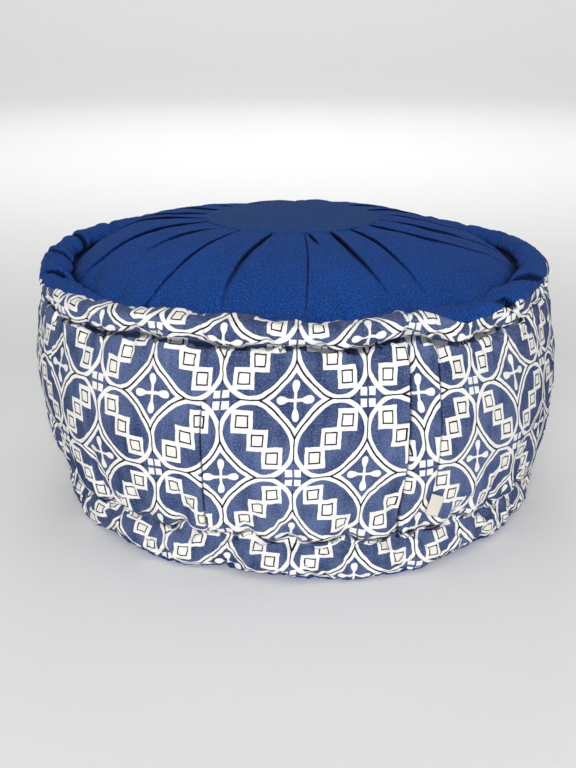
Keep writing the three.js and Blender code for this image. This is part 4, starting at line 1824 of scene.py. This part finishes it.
@dataclass
class SideLabel:
    """The small folded tape label on the band, left bare."""

    form: CushionForm
    azimuth: float = 27.1
    middle: float = 48.6
    width: float = 9.4
    height: float = 15.0
    turn: float = 11.0
    droop: float = 16.0
    clearance: float = 0.6

    def build(self) -> bpy.types.Object:
        """Build the label as a thin sheet folded back on itself.

        Returns:
            The piece.
        """
        across = np.linspace(-0.5, 0.5, 13)
        up = np.linspace(-0.5, 0.5, 17)
        cos, sin = math.cos(math.radians(self.turn)), math.sin(math.radians(self.turn))
        share = np.linspace(0.0, 1.0, 400)
        vertices: list[Array] = []
        faces: list[list[int]] = []
        chart: list[tuple[float, float]] = []
        for layer, lift in enumerate((self.clearance + 0.75, self.clearance)):
            first = len(vertices)
            for v in up:
                for u in across:
                    x, y = u * self.width + 0.7 * layer, v * self.height - 0.4 * layer
                    azimuth = self.azimuth + math.degrees((x * cos + y * sin) / 187.4)
                    height = self.middle + y * cos - x * math.sin(math.radians(self.turn + self.droop))
                    radii, heights = self.form.on_side(np.full_like(share, azimuth), share)
                    radius = float(np.interp(height, heights[::-1], radii[::-1]))
                    curl = 0.9 * (u + 0.5) ** 2 + 0.3 * math.sin(3.0 * v + 1.0)
                    spot = (azimuth, radius + lift + curl, height)
                    point = self.form.place(*(np.array(value) for value in spot))
                    vertices.append(point * MM)
            wide = len(across)
            for j in range(len(up) - 1):
                for i in range(wide - 1):
                    a = first + j * wide + i
                    faces.append([a, a + 1, a + wide + 1, a + wide])
                    for di, dj in ((0, 0), (1, 0), (1, 1), (0, 1)):
                        chart.append((across[i + di] * 0.01, up[j + dj] * 0.015))
        mesh = bpy.data.meshes.new("label_tape_piece")
        mesh.from_pydata([tuple(p) for p in vertices], [], faces)
        layer_uv = mesh.uv_layers.new(name="cloth")
        layer_uv.data.foreach_set("uv", np.array(chart, dtype=np.float32).ravel())
        mesh.shade_smooth()
        piece = bpy.data.objects.new("label_tape_piece", mesh)
        bpy.context.scene.collection.objects.link(piece)
        thick = piece.modifiers.new("tape", "SOLIDIFY")
        thick.thickness = 0.00035
        thick.offset = 0.0
        return piece


@dataclass
class Studio:
    """Pale floor that curves up all round, soft lights and the camera."""

    floor_radius: float = 3.0
    wall_radius: float = 1.6

    def sweep(self) -> bpy.types.Object:
        """Build the pale floor with its raised rim.

        Returns:
            The floor.
        """
        arc = np.radians(np.linspace(0.0, 90.0, 16))
        radius = np.concatenate([[0.3, 1.0, 2.0], self.floor_radius + self.wall_radius * np.sin(arc)])
        height = np.concatenate([[0.0, 0.0, 0.0], self.wall_radius * (1.0 - np.cos(arc))])
        turn = np.radians(np.arange(96) * 3.75)
        points = np.stack(
            [
                radius[:, None] * np.sin(turn),
                radius[:, None] * np.cos(turn),
                np.broadcast_to(height[:, None], (len(radius), 96)),
            ],
            axis=-1,
        )
        chart = np.zeros((len(radius), 97, 2))
        floor = cloth_mesh("floor", points / MM, chart, closed_start=True)
        for vertex in floor.data.vertices:
            vertex.co.z -= 0.0003
        material = bpy.data.materials.new("pale_floor")
        material.use_nodes = True
        shader = material.node_tree.nodes["Principled BSDF"]
        shader.inputs["Base Color"].default_value = (0.93, 0.93, 0.93, 1.0)
        shader.inputs["Roughness"].default_value = 0.9
        shader.inputs["Specular IOR Level"].default_value = 0.1
        floor.data.materials.append(material)
        return floor

    def light(
        self,
        name: str,
        place: tuple[float, float, float],
        size: float,
        watts: float,
        target: tuple[float, float, float] = (0.0, 0.0, 0.1),
    ) -> None:
        """Add one soft square light.

        Args:
            name: Its name.
            place: Where it stands, in metres.
            size: Length of its sides in metres.
            watts: Its power.
            target: What it is aimed at.
        """
        data = bpy.data.lights.new(name, "AREA")
        data.size = size
        data.energy = watts
        lamp = bpy.data.objects.new(name, data)
        lamp.location = place
        aim = Vector(target) - Vector(place)
        lamp.rotation_mode = "QUATERNION"
        lamp.rotation_quaternion = aim.to_track_quat("-Z", "Y")
        bpy.context.scene.collection.objects.link(lamp)

    def camera(self) -> None:
        """Add the camera at the photograph's angle."""
        elevation = math.radians(19.38)
        target = Vector((-0.0065, 0.0, 0.0716))
        back = Vector((0.0, -math.cos(elevation), math.sin(elevation)))
        data = bpy.data.cameras.new("camera")
        data.lens = 53.9
        data.sensor_width = 36.0
        camera = bpy.data.objects.new("camera", data)
        camera.location = target + back * 0.878
        camera.rotation_mode = "QUATERNION"
        camera.rotation_quaternion = (-back).to_track_quat("-Z", "Y")
        bpy.context.scene.collection.objects.link(camera)
        bpy.context.scene.camera = camera

    def build(self) -> None:
        """Set up the floor, lights, world and camera."""
        self.sweep()
        self.light("key", (-0.05, -2.3, 1.05), 0.9, 46.0)
        self.light("top", (0.0, 0.4, 2.2), 1.6, 7.0)
        self.light("wall", (0.0, 1.2, 2.4), 2.2, 54.0, (0.0, 4.4, 1.2))
        self.light("rear", (0.0, 2.3, 1.7), 1.2, 8.0)
        world = bpy.data.worlds.new("studio")
        world.use_nodes = True
        world.node_tree.nodes["Background"].inputs["Color"].default_value = (1.0, 1.0, 1.0, 1.0)
        world.node_tree.nodes["Background"].inputs["Strength"].default_value = 0.24
        bpy.context.scene.world = world
        bpy.context.scene.view_settings.view_transform = "Standard"
        self.camera()


def seated(piece: bpy.types.Object, node: str, material: bpy.types.Material) -> None:
    """Finish a piece, set it on the body and say which solid it stands for.

    Args:
        piece: The piece's object.
        node: Name of the solid.
        material: The finish.
    """
    piece.data.materials.append(material)
    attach(piece, BODY)
    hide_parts(node)
    LOG.info("%s stands for %s", piece.name, node)


def main() -> None:
    """Build the studio and the cushion's pieces in order."""
    logging.basicConfig(level=logging.INFO, format="%(name)s: %(message)s")
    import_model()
    Studio().build()
    finishes = Finishes()
    form = CushionForm()
    shell = FilledShell(form)
    shell.settle()
    indigo = DyedCotton("plain_cotton", (0.0050, 0.0375, 0.190), (0.0115, 0.0665, 0.296))
    patch_blue = DyedCotton("patch_cotton", (0.0115, 0.0480, 0.183), (0.0165, 0.0635, 0.236), drift=1.2)
    top_creases = scatter(31, 34, 12.0, 12.0, 0.9, 1.1)
    roll_creases = scatter(47, 44, 142.0, 10.0, 0.6, 1.0)
    pinch_creases = scatter(53, 40, 128.0, 20.0, 1.6, 0.8)
    low_creases = scatter(59, 42, 6.0, 22.0, 1.8, 0.9) + scatter(61, 36, -16.0, 14.0, 2.0, 1.0)
    band_creases = roll_creases + pinch_creases + low_creases
    base_creases = scatter(67, 40, -8.0, 20.0, 1.4, 1.0)
    plain = indigo.material(finishes)
    top = TopPanel(form, shell, ROLL_FOLDS, creases=top_creases).build()
    seated(top, "top_panel", plain)
    patch = CentrePatch(form).build()
    seated(patch, "centre_patch", patch_blue.material(finishes))
    band = SideBand(form, shell, TUCKS, ROLL_FOLDS, creases=band_creases).build()
    seated(band, "side_band", PrintedCotton().material(finishes))
    base = BasePanel(form, shell, creases=base_creases).build()
    seated(base, "base_panel", plain)
    label = SideLabel(form).build()
    seated(label, "side_label", TapeWeave().material(finishes))


if __name__ == "__main__":
    main()
